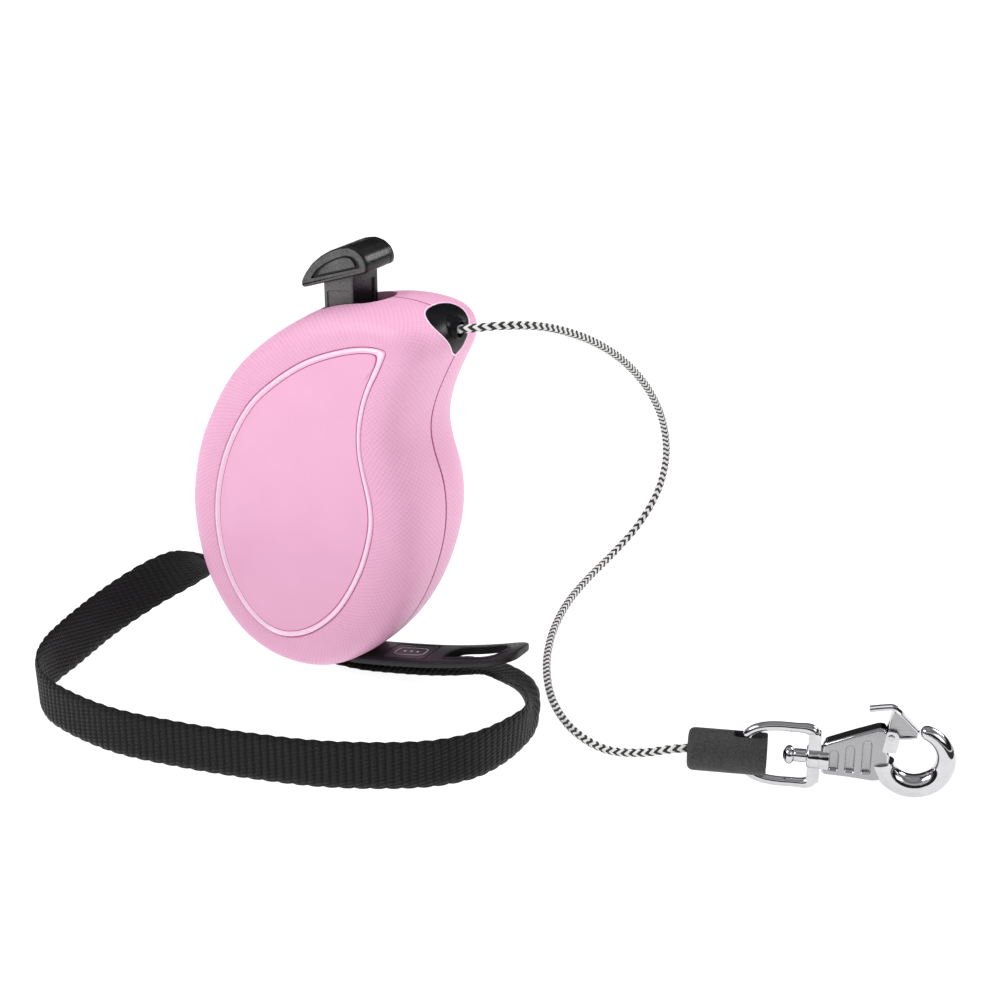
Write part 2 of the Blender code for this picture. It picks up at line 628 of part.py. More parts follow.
# ------------------------------------------------------------------ reel
steps = TEETH * 4


def tooth_radius(r, y, k):
    if r < FLANGE_R:
        return r
    if y > -5:
        return r
    phase = k % 4
    return {0: TOOTH_ROOT, 1: TOOTH_R, 2: TOOTH_ROOT, 3: TOOTH_ROOT}[phase]


w = WINDING_HALF
reel_profile = [
    (BORE_R, -12.0), (9.0, -12.0), (9.0, -w - FLANGE_T - 0.2), (FLANGE_R, -w - FLANGE_T - 0.2), (FLANGE_R, -w), (CORE_R, -w),
    (CORE_R, w), (FLANGE_R - 0.01, w), (FLANGE_R - 0.01, w + FLANGE_T), (BORE_R, w + FLANGE_T),
]
keep("reel_drum", lathe_y(reel_profile, REEL, steps, tooth_radius, TOOTH_PHASE), "reel_white", (REEL[0], 0, REEL[1]))

wound = []
wound.append((CORE_R + 0.3, -w + 0.3))
turns = 3
for k in range(turns):
    y0 = -w + 0.3 + (2 * w - 0.6) * k / turns
    dy = (2 * w - 0.6) / turns
    wound += [(WOUND_R - 0.7, y0 + dy * 0.06), (WOUND_R, y0 + dy * 0.5), (WOUND_R - 0.7, y0 + dy * 0.94)]
wound.append((CORE_R + 0.3, w - 0.3))
keep("cord_winding", lathe_y(wound, REEL, 32), "cord_braid", (REEL[0], 0, REEL[1]))

y0 = w + FLANGE_T + 0.3
cover_profile = [(BORE_R + 3.5, 15.0), (26.0, 15.0), (26.0, y0), (24.6, y0), (24.6, 14.1), (BORE_R + 3.5, 14.1)]
keep("spring_cover", lathe_y(cover_profile, REEL, 36), "reel_white", (REEL[0], 0, REEL[1]))


def spiral_strip(inner, outer, turns, low, high, thick, per=16):
    count = int(turns * per) + 1
    bm = bmesh.new()
    rows = []
    for i in range(count):
        a = 2 * math.pi * i / per
        r = inner + (outer - inner) * i / (count - 1)
        ring = []
        for rr, y in ((r, low), (r + thick, low), (r + thick, high), (r, high)):
            ring.append((REEL[0] + rr * math.cos(a), y, REEL[1] + rr * math.sin(a)))
        rows.append(ring)
    tube_rings(bm, rows)
    return bm


keep("power_spring", spiral_strip(5.2, 23.6, 6, y0 + 0.1, 13.7, 0.5), "spring_steel", (REEL[0], 0, REEL[1]))
keep(
    "reel_axle",
    stack_between((REEL[0], -15.1, REEL[1]), (REEL[0], 15.1, REEL[1]), [(0, AXLE_R - 0.4), (0.4, AXLE_R), (29.8, AXLE_R), (30.2, AXLE_R - 0.4)], 32),
    "steel",
)


# ------------------------------------------------------------------ cord
def round_line(name, points, radius, look, step):
    p = even(points, step)
    curve = bpy.data.curves.new(name, "CURVE")
    curve.dimensions = "3D"
    curve.bevel_depth = radius * MM
    curve.bevel_resolution = 2
    curve.use_fill_caps = True
    line = curve.splines.new("POLY")
    line.points.add(len(p) - 1)
    for i, q in enumerate(p):
        line.points[i].co = (*place(*q), 1)
    curve.materials.append(LOOKS[look])
    obj = bpy.data.objects.new(name, curve)
    PART.objects.link(obj)
    LOOK_OF[name] = look
    return obj


inside = open_spline([(31.9, 0, 53.0), (32.0, 0, 60), (33.2, 0, 70), (35.2, 0, 82), (37.6, 0, 94), (39.3, 0, 103), (40.4, 0, 107.6)], 6)
round_line("cord_inner_run", inside, CORD_R, "cord_braid", 5.0)
CORD_LINE = open_spline(CORD, 8)
round_line("cord", CORD_LINE, CORD_R, "cord_braid", 5.2)


# ------------------------------------------------------------------ wrist strap
def strap_stations():
    rows = np.array([list(c) + list(w) for c, w in STRAP], float)
    rows[:, 3:] /= np.linalg.norm(rows[:, 3:], axis=1)[:, None]
    smooth = open_spline(rows, 8)
    smooth = even(smooth, 5.0)
    c = smooth[:, :3]
    w = smooth[:, 3:]
    t = np.gradient(c, axis=0)
    t /= np.linalg.norm(t, axis=1)[:, None]
    w = w - t * (w * t).sum(1)[:, None]
    w /= np.linalg.norm(w, axis=1)[:, None]
    n = np.cross(t, w)
    low = STRAP_W / 2 * abs(w[:, 2]) + STRAP_T / 2 * abs(n[:, 2])
    c[:, 2] = np.maximum(c[:, 2], low)
    return c, w, n


def ribbon(c, w, n, width, thick):
    bm = bmesh.new()
    rows = []
    for ci, wi, ni in zip(c, w, n):
        a, b = wi * width / 2, ni * thick / 2
        rows.append([tuple(ci - a - b), tuple(ci + a - b), tuple(ci + a + b), tuple(ci - a + b)])
    tube_rings(bm, rows)
    return bm


sc, sw, sn = strap_stations()
keep("wrist_strap", ribbon(sc, sw, sn, STRAP_W, STRAP_T), "webbing_black")
keep("strap_rear_pin", stack_between((-31.4, -8.5, 28.0), (-31.4, 8.5, 28.0), [(0, 1.3), (0.2, 1.5), (16.8, 1.5), (17, 1.3)], 20), "steel")
keep("strap_front_pin", stack_between((6.6, -8.5, 6.0), (6.6, 8.5, 6.0), [(0, 1.3), (0.2, 1.5), (16.8, 1.5), (17, 1.3)], 20), "steel")


# tab over the strap's front end
def tab_surface(x):
    xs = [p[0] for p in TAB_LINE]
    zs = [p[1] for p in TAB_LINE]
    return float(np.interp(x, xs, zs))


TAB_LINE = [tuple(p) for p in open_spline([(x, z, 0) for x, z in TAB], 4)[:, :2]]


def tab_solid(points_at, low, high):
    """Rows across the tab; each row is its x and half-width."""
    bm = bmesh.new()
    rows = []
    for x, h in points_at:
        z = tab_surface(x)
        e = 0.45
        rows.append([(x, -h, z + low), (x, h, z + low), (x, h, z + high - e), (x, h - e, z + high), (x, -h + e, z + high), (x, -h, z + high - e)])
    tube_rings(bm, rows)
    return bm


stations = [(14.6, 6.6), (15.4, TAB_HALF_W)] + [(x, TAB_HALF_W) for x in (20, 26, 32, 38, 44, 50, 56, 62, 66)]
stations += [(68.5, 6.8), (70.5, 6.2), (72.0, 5.2), (73.0, 3.8), (73.5, 2.4)]
tab = keep("strap_tab", tab_solid(stations, -TAB_T / 2, TAB_T / 2), "black_plastic")
slot = bmesh.new()
slot_pts = [(47.6, -3.4), (62.0, -4.4), (65.6, -3.2), (67.0, -0.4), (66.6, 2.6), (64.4, 3.8), (51.0, 3.4), (48.4, 1.4), (47.2, -1.6)]
tube_rings(slot, [[(x, y, 4.0) for x, y in slot_pts], [(x, y, 26.0) for x, y in slot_pts]])
boolean(tab, cutter("tab_slot", slot), "DIFFERENCE")
badge_x = (25.5, 41.5)


def patch(x0, x1, half, low, high):
    bm = bmesh.new()
    rows = []
    for k in range(9):
        x = x0 + (x1 - x0) * k / 8
        z = tab_surface(x)
        rows.append([(x, -half, z + low), (x, half, z + low), (x, half, z + high), (x, -half, z + high)])
    tube_rings(bm, rows)
    return bm


boolean(tab, cutter("badge_recess", patch(badge_x[0], badge_x[1], 5.2, TAB_T / 2 - 0.7, TAB_T / 2 + 1)), "DIFFERENCE")
settle(tab)
keep("tab_badge", patch(badge_x[0] + 0.35, badge_x[1] - 0.35, 4.85, TAB_T / 2 - 0.4, TAB_T / 2 + 0.05), "badge_grey")


# ------------------------------------------------------------------ sleeve, swivel and hook
hx, hy, hz = HOOK_START
hu = Vector((HOOK_DIR[0], HOOK_DIR[1], 0)).normalized()
hv = Vector((-hu.y, hu.x, 0))


def hook_place(u, v, z):
    """u runs along the chain, v across it away from the camera side, z is the height."""
    return (hx + hu.x * u + hv.x * v, hy + hu.y * u + hv.y * v, z)


def hook_lathe(stations, z=hz, steps=24, v=0.0):
    return stack_between(hook_place(stations[0][0], v, z), hook_place(stations[-1][0] + 1, v, z), [(s - stations[0][0], r) for s, r in stations], steps)


sleeve = keep("cord_end_sleeve", hook_lathe([(-0.6, 5.2), (-0.2, 5.8), (0.6, SLEEVE_R), (SLEEVE_L - 0.5, SLEEVE_R), (SLEEVE_L, SLEEVE_R - 0.5)], steps=32), "rubber_black")
boolean(sleeve, cutter("sleeve_bore", hook_lathe([(-3, CORD_R + 0.3), (11.5, CORD_R + 0.3)])), "DIFFERENCE")
boolean(sleeve, cutter("sleeve_cavity", hook_lathe([(10.5, 4.5), (24, 4.5)])), "DIFFERENCE")
slit = bmesh.new()
tube_rings(slit, [[hook_place(u, v, z) for u, v in ((11.9, -1.75), (24, -1.75), (24, 1.75), (11.9, 1.75))] for z in (-2, 22)])
boolean(sleeve, cutter("sleeve_slit", slit), "DIFFERENCE")
settle(sleeve)


def wire_loop(points, radius, ring=10):
    """A closed wire through the points, which lie in the chain's upright plane as (u, z)."""
    p = np.asarray(points, float)
    n = len(p)
    bm = bmesh.new()
    rows = []
    for i in range(n):
        t = p[(i + 1) % n] - p[i - 1]
        t /= np.linalg.norm(t)
        nrm = np.array((-t[1], t[0]))
        row = []
        for k in range(ring):
            a = 2 * math.pi * k / ring
            q = p[i] + nrm * radius * math.cos(a)
            row.append(bm.verts.new(hook_place(q[0], radius * math.sin(a), q[1])))
        rows.append(row)
    for i in range(n):
        a, b = rows[i], rows[(i + 1) % n]
        for k in range(ring):
            bm.faces.new((a[k], a[(k + 1) % ring], b[(k + 1) % ring], b[k]))
    return bm


def eye_path():
    zl, zh = EYE_Z
    mid = (zl + zh) / 2
    half = [
        (EYE_BAR_U, mid), (EYE_BAR_U, zl + 4.6), (EYE_BAR_U + 0.5, zl + 3.0), (EYE_BAR_U + 2.2, zl + 1.5), (EYE_BAR_U + 4.8, zl + 0.5), (EYE_BAR_U + 8.5, zl),
        (EYE_BAR_U + 13, zl), (EYE_RIGHT_U - 2.0, zl + 0.1), (EYE_RIGHT_U - 0.6, zl + 0.8), (EYE_RIGHT_U, zl + 2.6), (EYE_RIGHT_U, mid),
    ]
    up = [(u, zl + zh - z) for u, z in half[-2:0:-1]]
    return half + up


eye = keep("swivel_eye", wire_loop(eye_path(), EYE_WIRE_R), "chrome", hook_place(EYE_BAR_U, 0, hz))
collar = hook_lathe([(32.2, 3.3), (36.0, 3.3)], (EYE_Z[0] + EYE_Z[1]) / 2, 24)
boolean(eye, cutter("eye_collar", collar), "UNION")
boolean(eye, cutter("eye_bore", hook_lathe([(28, STUD_R + 0.3), (40, STUD_R + 0.3)], (EYE_Z[0] + EYE_Z[1]) / 2, 24)), "DIFFERENCE")
settle(eye)
EYE_MID = (EYE_Z[0] + EYE_Z[1]) / 2
keep(
    "swivel_stud",
    hook_lathe([(25.8, 1.4), (26.3, 2.3), (27.2, 2.75), (28.1, 2.5), (28.6, 1.9), (36.6, STUD_R), (38.0, STUD_R)], EYE_MID, 20),
    "chrome",
    hook_place(EYE_RIGHT_U, 0, EYE_MID),
)


def hook_outline():
    """The wedge of the casting, (u, z)."""
    return [(36.4, 6.2), (37.2, 5.6), (44, 5.3), (50.6, 4.7), (53.2, 5.4), (54.6, 8.0), (54.6, 13.0), (53.4, 15.6), (53.4, 20.2), (52.8, 21.2), (51.2, 21.3), (44.5, 18.6), (37.2, 15.4), (36.4, 14.4)]


hook = keep("hook_body", prism(hook_outline(), -HOOK_T / 2, HOOK_T / 2, lambda a, b, d: hook_place(a, d, b)), "chrome", hook_place(EYE_RIGHT_U, 0, EYE_MID))
bev = hook.modifiers.new("Edges", "BEVEL")
bev.width = 0.0005
bev.segments = 2
bev.limit_method = "ANGLE"
bev.angle_limit = math.radians(40)


def ring_arc(start, end, count, size):
    """A tapering round bar on the hook's ring, from one angle to another."""
    bm = bmesh.new()
    rows = []
    for i in range(count + 1):
        f = i / count
        a = math.radians(start + (end - start) * f)
        r = size(f)
        row = []
        for k in range(12):
            b = 2 * math.pi * k / 12
            rad = RING_R + r * math.cos(b)
            row.append(hook_place(RING[0] + rad * math.cos(a), r * math.sin(b), RING[1] + rad * math.sin(a)))
        rows.append(row)
    tube_rings(bm, rows)
    return bm


arc = ring_arc(-168, 76, 26, lambda f: 3.3 - 1.1 * max(0.0, (f - 0.45) / 0.55))
boolean(hook, cutter("hook_ring", arc), "UNION")
stud_hole = hook_lathe([(34, STUD_R + 0.3), (38.4, STUD_R + 0.3)], EYE_MID, 20)
boolean(hook, cutter("hook_stud_bore", stud_hole), "DIFFERENCE")
for side in (-1, 1):
    for k, u in enumerate((39.0, 43.6, 48.4)):
        top = 12.6 + 0.42 * (u - 39)
        rib = [(u - 1.2, 7.3), (u + 1.2, 7.3), (u + 1.2, top), (u + 0.5, top + 0.9), (u - 0.5, top + 0.9), (u - 1.2, top)]
        boolean(hook, cutter(f"hook_rib_{k}_{'near' if side < 0 else 'far'}", prism(rib, side * (HOOK_T / 2 - 0.7), side * 4, lambda a, b, d: hook_place(a, d, b))), "DIFFERENCE")
gate_slot = prism([(50.9, 14.9), (58.5, 14.9), (58.5, 24), (52.1, 24)], -1.65, 1.65, lambda a, b, d: hook_place(a, d, b))
gu, gz = GATE_PIVOT
lug = prism([(52.4, 14.2), (56.2, 14.2), (57.0, 18.8), (56.0, 20.6), (53.4, 20.8)], -HOOK_T / 2, HOOK_T / 2, lambda a, b, d: hook_place(a, d, b))
boolean(hook, cutter("gate_lug", lug), "UNION")
boolean(hook, cutter("gate_slot", gate_slot), "DIFFERENCE")
gate_hole = stack_between(hook_place(gu, -6, gz), hook_place(gu, 6, gz), [(0, 0.95), (12, 0.95)], 16)
boolean(hook, cutter("gate_pin_hole", gate_hole), "DIFFERENCE")
settle(hook)

gate_outline = [
    (53.3, 17.6), (55.2, 17.2), (61.4, 18.0), (62.1, 18.9), (62.2, 20.5), (61.7, 21.0), (56.2, 26.4), (54.3, 27.7), (48.3, 26.6), (48.2, 25.6),
    (53.6, 26.3), (54.3, 22.4), (53.2, 20.2),
]
gate = keep("hook_gate", prism(gate_outline, -1.35, 1.35, lambda a, b, d: hook_place(a, d, b)), "chrome", hook_place(gu, 0, gz))
boolean(gate, cutter("gate_bore", stack_between(hook_place(gu, -6, gz), hook_place(gu, 6, gz), [(0, 0.95), (12, 0.95)], 16)), "DIFFERENCE")
settle(gate)
keep("gate_pin", stack_between(hook_place(gu, -2.5, gz), hook_place(gu, 2.5, gz), [(0, 0.5), (0.15, 0.65), (4.85, 0.65), (5, 0.5)], 16), "steel", hook_place(gu, 0, gz))
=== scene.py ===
"""Looks of the retractable leash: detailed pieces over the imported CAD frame, procedural materials, a pale floor and soft studio light.

Lengths are millimetres in the part's design frame (measured from the housing's lowest point); P() places them in the row frame in metres.
"""

import json
import math

import bmesh
import bpy
import numpy as np
from mathutils import Matrix, Vector

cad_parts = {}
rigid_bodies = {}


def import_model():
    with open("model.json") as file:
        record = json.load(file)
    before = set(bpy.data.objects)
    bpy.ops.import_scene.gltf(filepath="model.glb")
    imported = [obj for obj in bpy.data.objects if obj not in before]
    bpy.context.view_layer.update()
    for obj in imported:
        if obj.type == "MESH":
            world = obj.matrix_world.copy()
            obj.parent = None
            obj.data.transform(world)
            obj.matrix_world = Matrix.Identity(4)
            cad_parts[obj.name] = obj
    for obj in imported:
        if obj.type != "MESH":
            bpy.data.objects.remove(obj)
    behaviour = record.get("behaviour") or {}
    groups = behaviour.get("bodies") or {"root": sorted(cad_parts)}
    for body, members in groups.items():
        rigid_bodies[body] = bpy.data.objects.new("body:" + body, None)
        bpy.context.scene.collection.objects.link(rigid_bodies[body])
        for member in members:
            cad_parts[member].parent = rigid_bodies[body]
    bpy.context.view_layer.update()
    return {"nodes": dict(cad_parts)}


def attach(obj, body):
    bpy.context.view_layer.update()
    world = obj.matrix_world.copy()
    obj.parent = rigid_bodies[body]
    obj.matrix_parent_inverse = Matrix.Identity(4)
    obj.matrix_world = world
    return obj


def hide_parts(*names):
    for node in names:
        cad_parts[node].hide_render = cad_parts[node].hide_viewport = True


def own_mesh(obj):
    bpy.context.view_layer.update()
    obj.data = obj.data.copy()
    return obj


MM = 0.001
ORIGIN = (8.53, -33.07, 0.0)
HALF_DEPTH = 18.5
SHELL_POWER = 2.8
WALL = 2.2
OUTLINE = [
    (2, 0, -0.5, 12.2), (12, 2, 7.5, 14.9), (22, 8, 15, 20.3), (30, 15.8, 20.6, 26.2),
    (37.3, 26.2, 26, 34.6), (42.5, 37.4, 30.2, 43.5), (46.1, 49.8, 33, 53), (47, 60, 33.8, 60),
    (45.9, 68.8, 32.9, 67), (43.6, 75.5, 31.1, 73.5), (42.1, 82.5, 29.9, 81), (43, 90, 30.6, 88.8),
    (46.2, 98.5, 33.2, 97.8), (49.6, 105.5, 36.6, 104.2), (51.8, 111.5, 38.8, 109), (50.6, 116.2, 39.6, 110.9),
    (46.5, 119.7, 38.9, 112), (41, 121.2, 35.5, 112.3), (32.5, 121.6, 29.2, 111.5), (23, 120.4, 21.5, 109.1),
    (12, 117.6, 12.5, 105.3), (0.5, 111.8, 3.8, 100), (-10.4, 104.5, -4.2, 93.8), (-21.3, 94.5, -11.5, 86.5),
    (-28.5, 84.2, -17.2, 77.8), (-35.4, 70.3, -22.3, 67), (-38.6, 59, -25, 57.5), (-39.9, 48, -26.2, 47.5),
    (-38, 32.1, -24.6, 34), (-33, 19.4, -20.8, 24.8), (-24.7, 8.9, -15.2, 17.5), (-12.5, 1.8, -8.5, 13.3),
]
PANEL_CORE = (24.0, 92.0)
PANEL_MID = (2.0, 62.0)
SCREWS = [(28.5, 101.5), (-18.8, 82.4), (-23.5, 17.5), (25.0, 16.2)]
NOZZLE = (50.6, 115.3)
CORD_R = 1.2
STRAP_W = 15.0
STRAP_T = 1.6
STRAP = [
    ((9, 0, 1.2), (0, -1, 0)), ((20, 0, 2.0), (0, -1, 0)), ((32, 0, 4.1), (0, -1, 0)), ((44, 0, 6.6), (0, -1, 0)),
    ((54, 0, 9.0), (-0.02, -1, 0.03)), ((64, 0, 10.6), (-0.2, -0.95, 0.2)), ((73.5, -3.2, 10.4), (-0.42, -0.83, 0.38)),
    ((81.5, -9.9, 8.2), (-0.17, -0.4, 0.9)), ((86.3, -20, 7.5), (0.1, -0.05, 1)), ((86.2, -31, 7.5), (0.06, -0.02, 1)),
    ((83.4, -41.5, 7.5), (0, 0, 1)), ((77.3, -50.5, 7.5), (0, 0, 1)), ((69, -57.5, 7.5), (0, 0, 1)),
    ((50, -68.2, 7.5), (0, 0, 1)), ((29.2, -75.4, 7.5), (0, 0, 1)), ((7.9, -80.8, 7.5), (0, 0, 1)),
    ((-13.6, -84, 7.5), (0, 0, 1)), ((-35.4, -81.6, 7.5), (0, 0, 1)), ((-45.6, -77.6, 7.5), (0, 0, 1)),
    ((-53.6, -70.3, 7.5), (-0.08, -0.02, 1)), ((-58.6, -60.4, 7.5), (-0.2, -0.06, 0.97)),
    ((-61.6, -49.8, 7.4), (-0.35, -0.08, 0.93)), ((-64.2, -39.2, 7.3), (-0.4, -0.09, 0.91)),
    ((-66.4, -28.5, 7.3), (-0.42, -0.09, 0.91)), ((-66.8, -17.5, 8.2), (-0.47, -0.09, 0.88)),
    ((-63.5, -7.8, 11.2), (-0.5, -0.15, 0.85)), ((-56, -2.2, 15.9), (-0.41, -0.35, 0.85)),
    ((-47, -0.2, 20.8), (-0.25, -0.75, 0.6)), ((-38.6, 0, 24.6), (0, -1, 0.05)), ((-34.2, 0, 26.5), (0, -1, 0)),
]
TAB_T = 2.2
TAB_HALF_W = 7.0
TAB = [(14.5, 4.0), (20, 4.9), (32, 7.2), (44, 9.8), (54, 12.5), (64, 15.6), (70, 17.8), (73.6, 19.2)]
CORD = [
    (43.5, 0, 114.9), (47.5, 0, 115.1), (52.1, 0, 115.4), (57.0, 1.2, 116.2), (61.8, 3.8, 116.8), (67.4, 13.7, 115.2),
    (69.8, 29.7, 109.5), (70.2, 49.5, 100.1), (69.1, 70.7, 87.3), (67.0, 90.9, 71.7), (63.8, 107.8, 54.5),
    (59.4, 119.1, 37.1), (54.1, 123.3, 21.9), (49.2, 119.6, 10.6), (46.2, 108.1, 4.0), (46.4, 89.8, 1.6),
    (50.3, 67.4, 1.4), (58.0, 43.9, 1.4), (69.0, 22.1, 1.4), (82.1, 4.5, 1.4), (95.9, -6.9, 1.5), (109.1, -12.3, 2.4),
    (121.1, -13.4, 5.6), (128.6, -12.4, 8.4), (134.0, -10.3, 9.4), (143.0, -6.7, 9.4),
]
HOOK_START = (134.0, -10.3, 9.4)
HOOK_DIR = Vector((0.92765, 0.37345, 0)).normalized()
SLEEVE_R = 6.0
SLEEVE_L = 21.3
EYE_BAR_U = 15.4
EYE_WIRE_R = 1.35
EYE_Z = (1.4, 18.6)
EYE_RIGHT_U = 34.2
STUD_R = 1.9
RING = (61.2, 12.0)
RING_R = 8.6
HOOK_T = 4.6
GATE_PIVOT = (54.6, 18.9)


# ------------------------------------------------------------------ frame and camera
for obj in list(bpy.data.objects):
    bpy.data.objects.remove(obj, do_unlink=True)
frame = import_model()
NODES = frame["nodes"]
SCENE = bpy.context.scene

cam_data = bpy.data.cameras.new("camera")
cam_data.lens = 72.0
cam_data.sensor_width = 36.0
cam_data.clip_start = 0.01
camera = bpy.data.objects.new("camera", cam_data)
camera.location = (0.33517, -0.42263, 0.2871)
camera.rotation_euler = (math.radians(67.5), 0.0, math.radians(31.4))
SCENE.collection.objects.link(camera)
SCENE.camera = camera


# ------------------------------------------------------------------ geometry helpers
def P(x, y, z):
    return Vector(((x - ORIGIN[0]) * MM, (y - ORIGIN[1]) * MM, (z - ORIGIN[2]) * MM))


def periodic_spline(points):
    p = np.asarray(points, float)
    n = len(p)
    h = np.linalg.norm(np.roll(p[:, :2], -1, 0) - p[:, :2], axis=1) ** 0.7
    system = np.zeros((n, n))
    right = np.zeros((n, p.shape[1]))
    for i in range(n):
        a, b = h[i - 1], h[i]
        system[i, i - 1] += a
        system[i, i] += 2 * (a + b)
        system[i, (i + 1) % n] += b
        right[i] = 6 * ((p[(i + 1) % n] - p[i]) / b - (p[i] - p[i - 1]) / a)
    return p, h, np.linalg.solve(system, right)


def spline_at(spline, t):
    p, h, m = spline
    n = len(p)
    i = int(math.floor(t)) % n
    f = t - math.floor(t)
    j = (i + 1) % n
    w = h[i]
    a, b = 1 - f, f
    return a * p[i] + b * p[j] + ((a**3 - a) * m[i] + (b**3 - b) * m[j]) * w * w / 6


def open_spline(points, per):
    p = np.asarray(points, float)
    ext = np.vstack([2 * p[0] - p[1], p, 2 * p[-1] - p[-2]])
    out = []
    for i in range(1, len(ext) - 2):
        p0, p1, p2, p3 = ext[i - 1 : i + 3]
        t0 = 0.0
        t1 = t0 + np.linalg.norm((p1 - p0)[:3]) ** 0.5
        t2 = t1 + np.linalg.norm((p2 - p1)[:3]) ** 0.5
        t3 = t2 + np.linalg.norm((p3 - p2)[:3]) ** 0.5
        for k in range(per):
            t = t1 + (t2 - t1) * k / per
            a1 = (t1 - t) / (t1 - t0) * p0 + (t - t0) / (t1 - t0) * p1
            a2 = (t2 - t) / (t2 - t1) * p1 + (t - t1) / (t2 - t1) * p2
            a3 = (t3 - t) / (t3 - t2) * p2 + (t - t2) / (t3 - t2) * p3
            b1 = (t2 - t) / (t2 - t0) * a1 + (t - t0) / (t2 - t0) * a2
            b2 = (t3 - t) / (t3 - t1) * a2 + (t - t1) / (t3 - t1) * a3
            out.append((t2 - t) / (t2 - t1) * b1 + (t - t1) / (t2 - t1) * b2)
    out.append(p[-1])
    return np.array(out)


def even(points, step):
    p = np.asarray(points, float)
    s = np.r_[0, np.cumsum(np.linalg.norm(np.diff(p[:, :3], axis=0), axis=1))]
    n = max(2, int(round(s[-1] / step)))
    u = np.linspace(0, s[-1], n + 1)
    return np.stack([np.interp(u, s, p[:, k]) for k in range(p.shape[1])], 1)


def closed_spline(points, per):
    """A smooth closed loop through 2-D points."""
    p = np.asarray(points, float)
    out = []
    n = len(p)
    for i in range(n):
        p0, p1, p2, p3 = p[i - 1], p[i], p[(i + 1) % n], p[(i + 2) % n]
        t1 = max(np.linalg.norm(p1 - p0), 1e-6) ** 0.5
        t2 = t1 + max(np.linalg.norm(p2 - p1), 1e-6) ** 0.5
        t3 = t2 + max(np.linalg.norm(p3 - p2), 1e-6) ** 0.5
        for k in range(per):
            t = t1 + (t2 - t1) * k / per
            a1 = (t1 - t) / t1 * p0 + t / t1 * p1
            a2 = (t2 - t) / (t2 - t1) * p1 + (t - t1) / (t2 - t1) * p2
            a3 = (t3 - t) / (t3 - t2) * p2 + (t - t2) / (t3 - t2) * p3
            b1 = (t2 - t) / t2 * a1 + t / t2 * a2
            b2 = (t3 - t) / (t3 - t1) * a2 + (t - t1) / (t3 - t1) * a3
            out.append((t2 - t) / (t2 - t1) * b1 + (t - t1) / (t2 - t1) * b2)
    return np.array(out)


def rounded(points, radius, per=5):
    """A polygon with its corners rounded by about radius."""
    p = np.asarray(points, float)
    out = []
    n = len(p)
    for i in range(n):
        a, b, c = p[i - 1], p[i], p[(i + 1) % n]
        la, lc = np.linalg.norm(a - b), np.linalg.norm(c - b)
        r = min(radius, 0.42 * la, 0.42 * lc)
        s, e = b + (a - b) / la * r, b + (c - b) / lc * r
        for k in range(per):
            f = k / (per - 1)
            out.append((1 - f) ** 2 * s + 2 * f * (1 - f) * b + f * f * e)
    return np.array(out)


def skin(bm, rows, caps=(True, True), look=0, first_layer=None, coords=None):
    """Quads over rings of one count of points; coords gives each ring's (along, across) surface coordinates."""
    made = [[bm.verts.new(p) for p in ring] for ring in rows]
    n = len(made[0])
    for k in range(len(made) - 1):
        a, b = made[k], made[k + 1]
        index = look[k] if isinstance(look, (list, tuple)) else look
        for i in range(n):
            j = (i + 1) % n
            f = bm.faces.new((a[i], a[j], b[j], b[i]))
            f.material_index = index
            if coords is not None:
                along, across = coords
                wrap = along[-1] + (along[1] - along[0])
                aj = along[j] if j else wrap
                values = ((along[i], across[k][i]), (aj, across[k][j]), (aj, across[k + 1][j]), (along[i], across[k + 1][i]))
                for loop, (u, v) in zip(f.loops, values):
                    loop[first_layer] = (u, v, 0)
    for ring, want in ((made[0][::-1], caps[0]), (made[-1], caps[1])):
        if want:
            f = bm.faces.new(ring)
            f.material_index = look[0] if isinstance(look, (list, tuple)) else look
    return made


def finish_mesh(name, bm, looks, sharp=35, mm=True, fix=True):
    if mm:
        for v in bm.verts:
            v.co = P(*v.co)
    if fix:
        bmesh.ops.recalc_face_normals(bm, faces=bm.faces[:])
    mesh = bpy.data.meshes.new(name)
    bm.to_mesh(mesh)
    bm.free()
    for m in looks:
        mesh.materials.append(m)
    obj = bpy.data.objects.new(name, mesh)
    SCENE.collection.objects.link(obj)
    smooth(obj, sharp)
    return obj


def smooth(obj, sharp=35):
    obj.data.shade_smooth()
    if sharp:
        obj.data.set_sharp_from_angle(angle=math.radians(sharp))


def prism(points, low, high, to3, bm=None):
    bm = bm or bmesh.new()
    skin(bm, [[to3(a, b, d) for a, b in points] for d in (low, high)])
    return bm


def stack_between(a, b, stations, steps=48, caps=(True, True), bm=None, look=0):
    a, b = Vector(a), Vector(b)
    d = (b - a).normalized()
    e1 = Vector((0, 0, 1)) if abs(d.z) < 0.9 else Vector((0, 1, 0))
    e1 = (e1 - d * e1.dot(d)).normalized()
    e2 = d.cross(e1)
    bm = bm or bmesh.new()
    rows = []
    for s, r in stations:
        rows.append([a + d * s + r * (math.cos(2 * math.pi * k / steps) * e1 + math.sin(2 * math.pi * k / steps) * e2) for k in range(steps)])
    skin(bm, rows, caps, look)
    return bm


TEMP = []


def tool(bm, look=0, mm=True):
    """A cutter or addition, used by apply_all and removed afterwards."""
    if mm:
        for v in bm.verts:
            v.co = P(*v.co)
    bmesh.ops.recalc_face_normals(bm, faces=bm.faces[:])
    mesh = bpy.data.meshes.new("tool")
    bm.to_mesh(mesh)
    bm.free()
    for k in range(look + 1):
        mesh.materials.append(None)
    mesh.polygons.foreach_set("material_index", np.full(len(mesh.polygons), look, np.int32))
    obj = bpy.data.objects.new("tool", mesh)
    SCENE.collection.objects.link(obj)
    TEMP.append(obj)
    return obj


def boolean(obj, other, operation, solver="EXACT"):
    mod = obj.modifiers.new(operation, "BOOLEAN")
    mod.operation = operation
    mod.object = other
    mod.solver = solver
    mod.material_mode = "INDEX"
    return mod


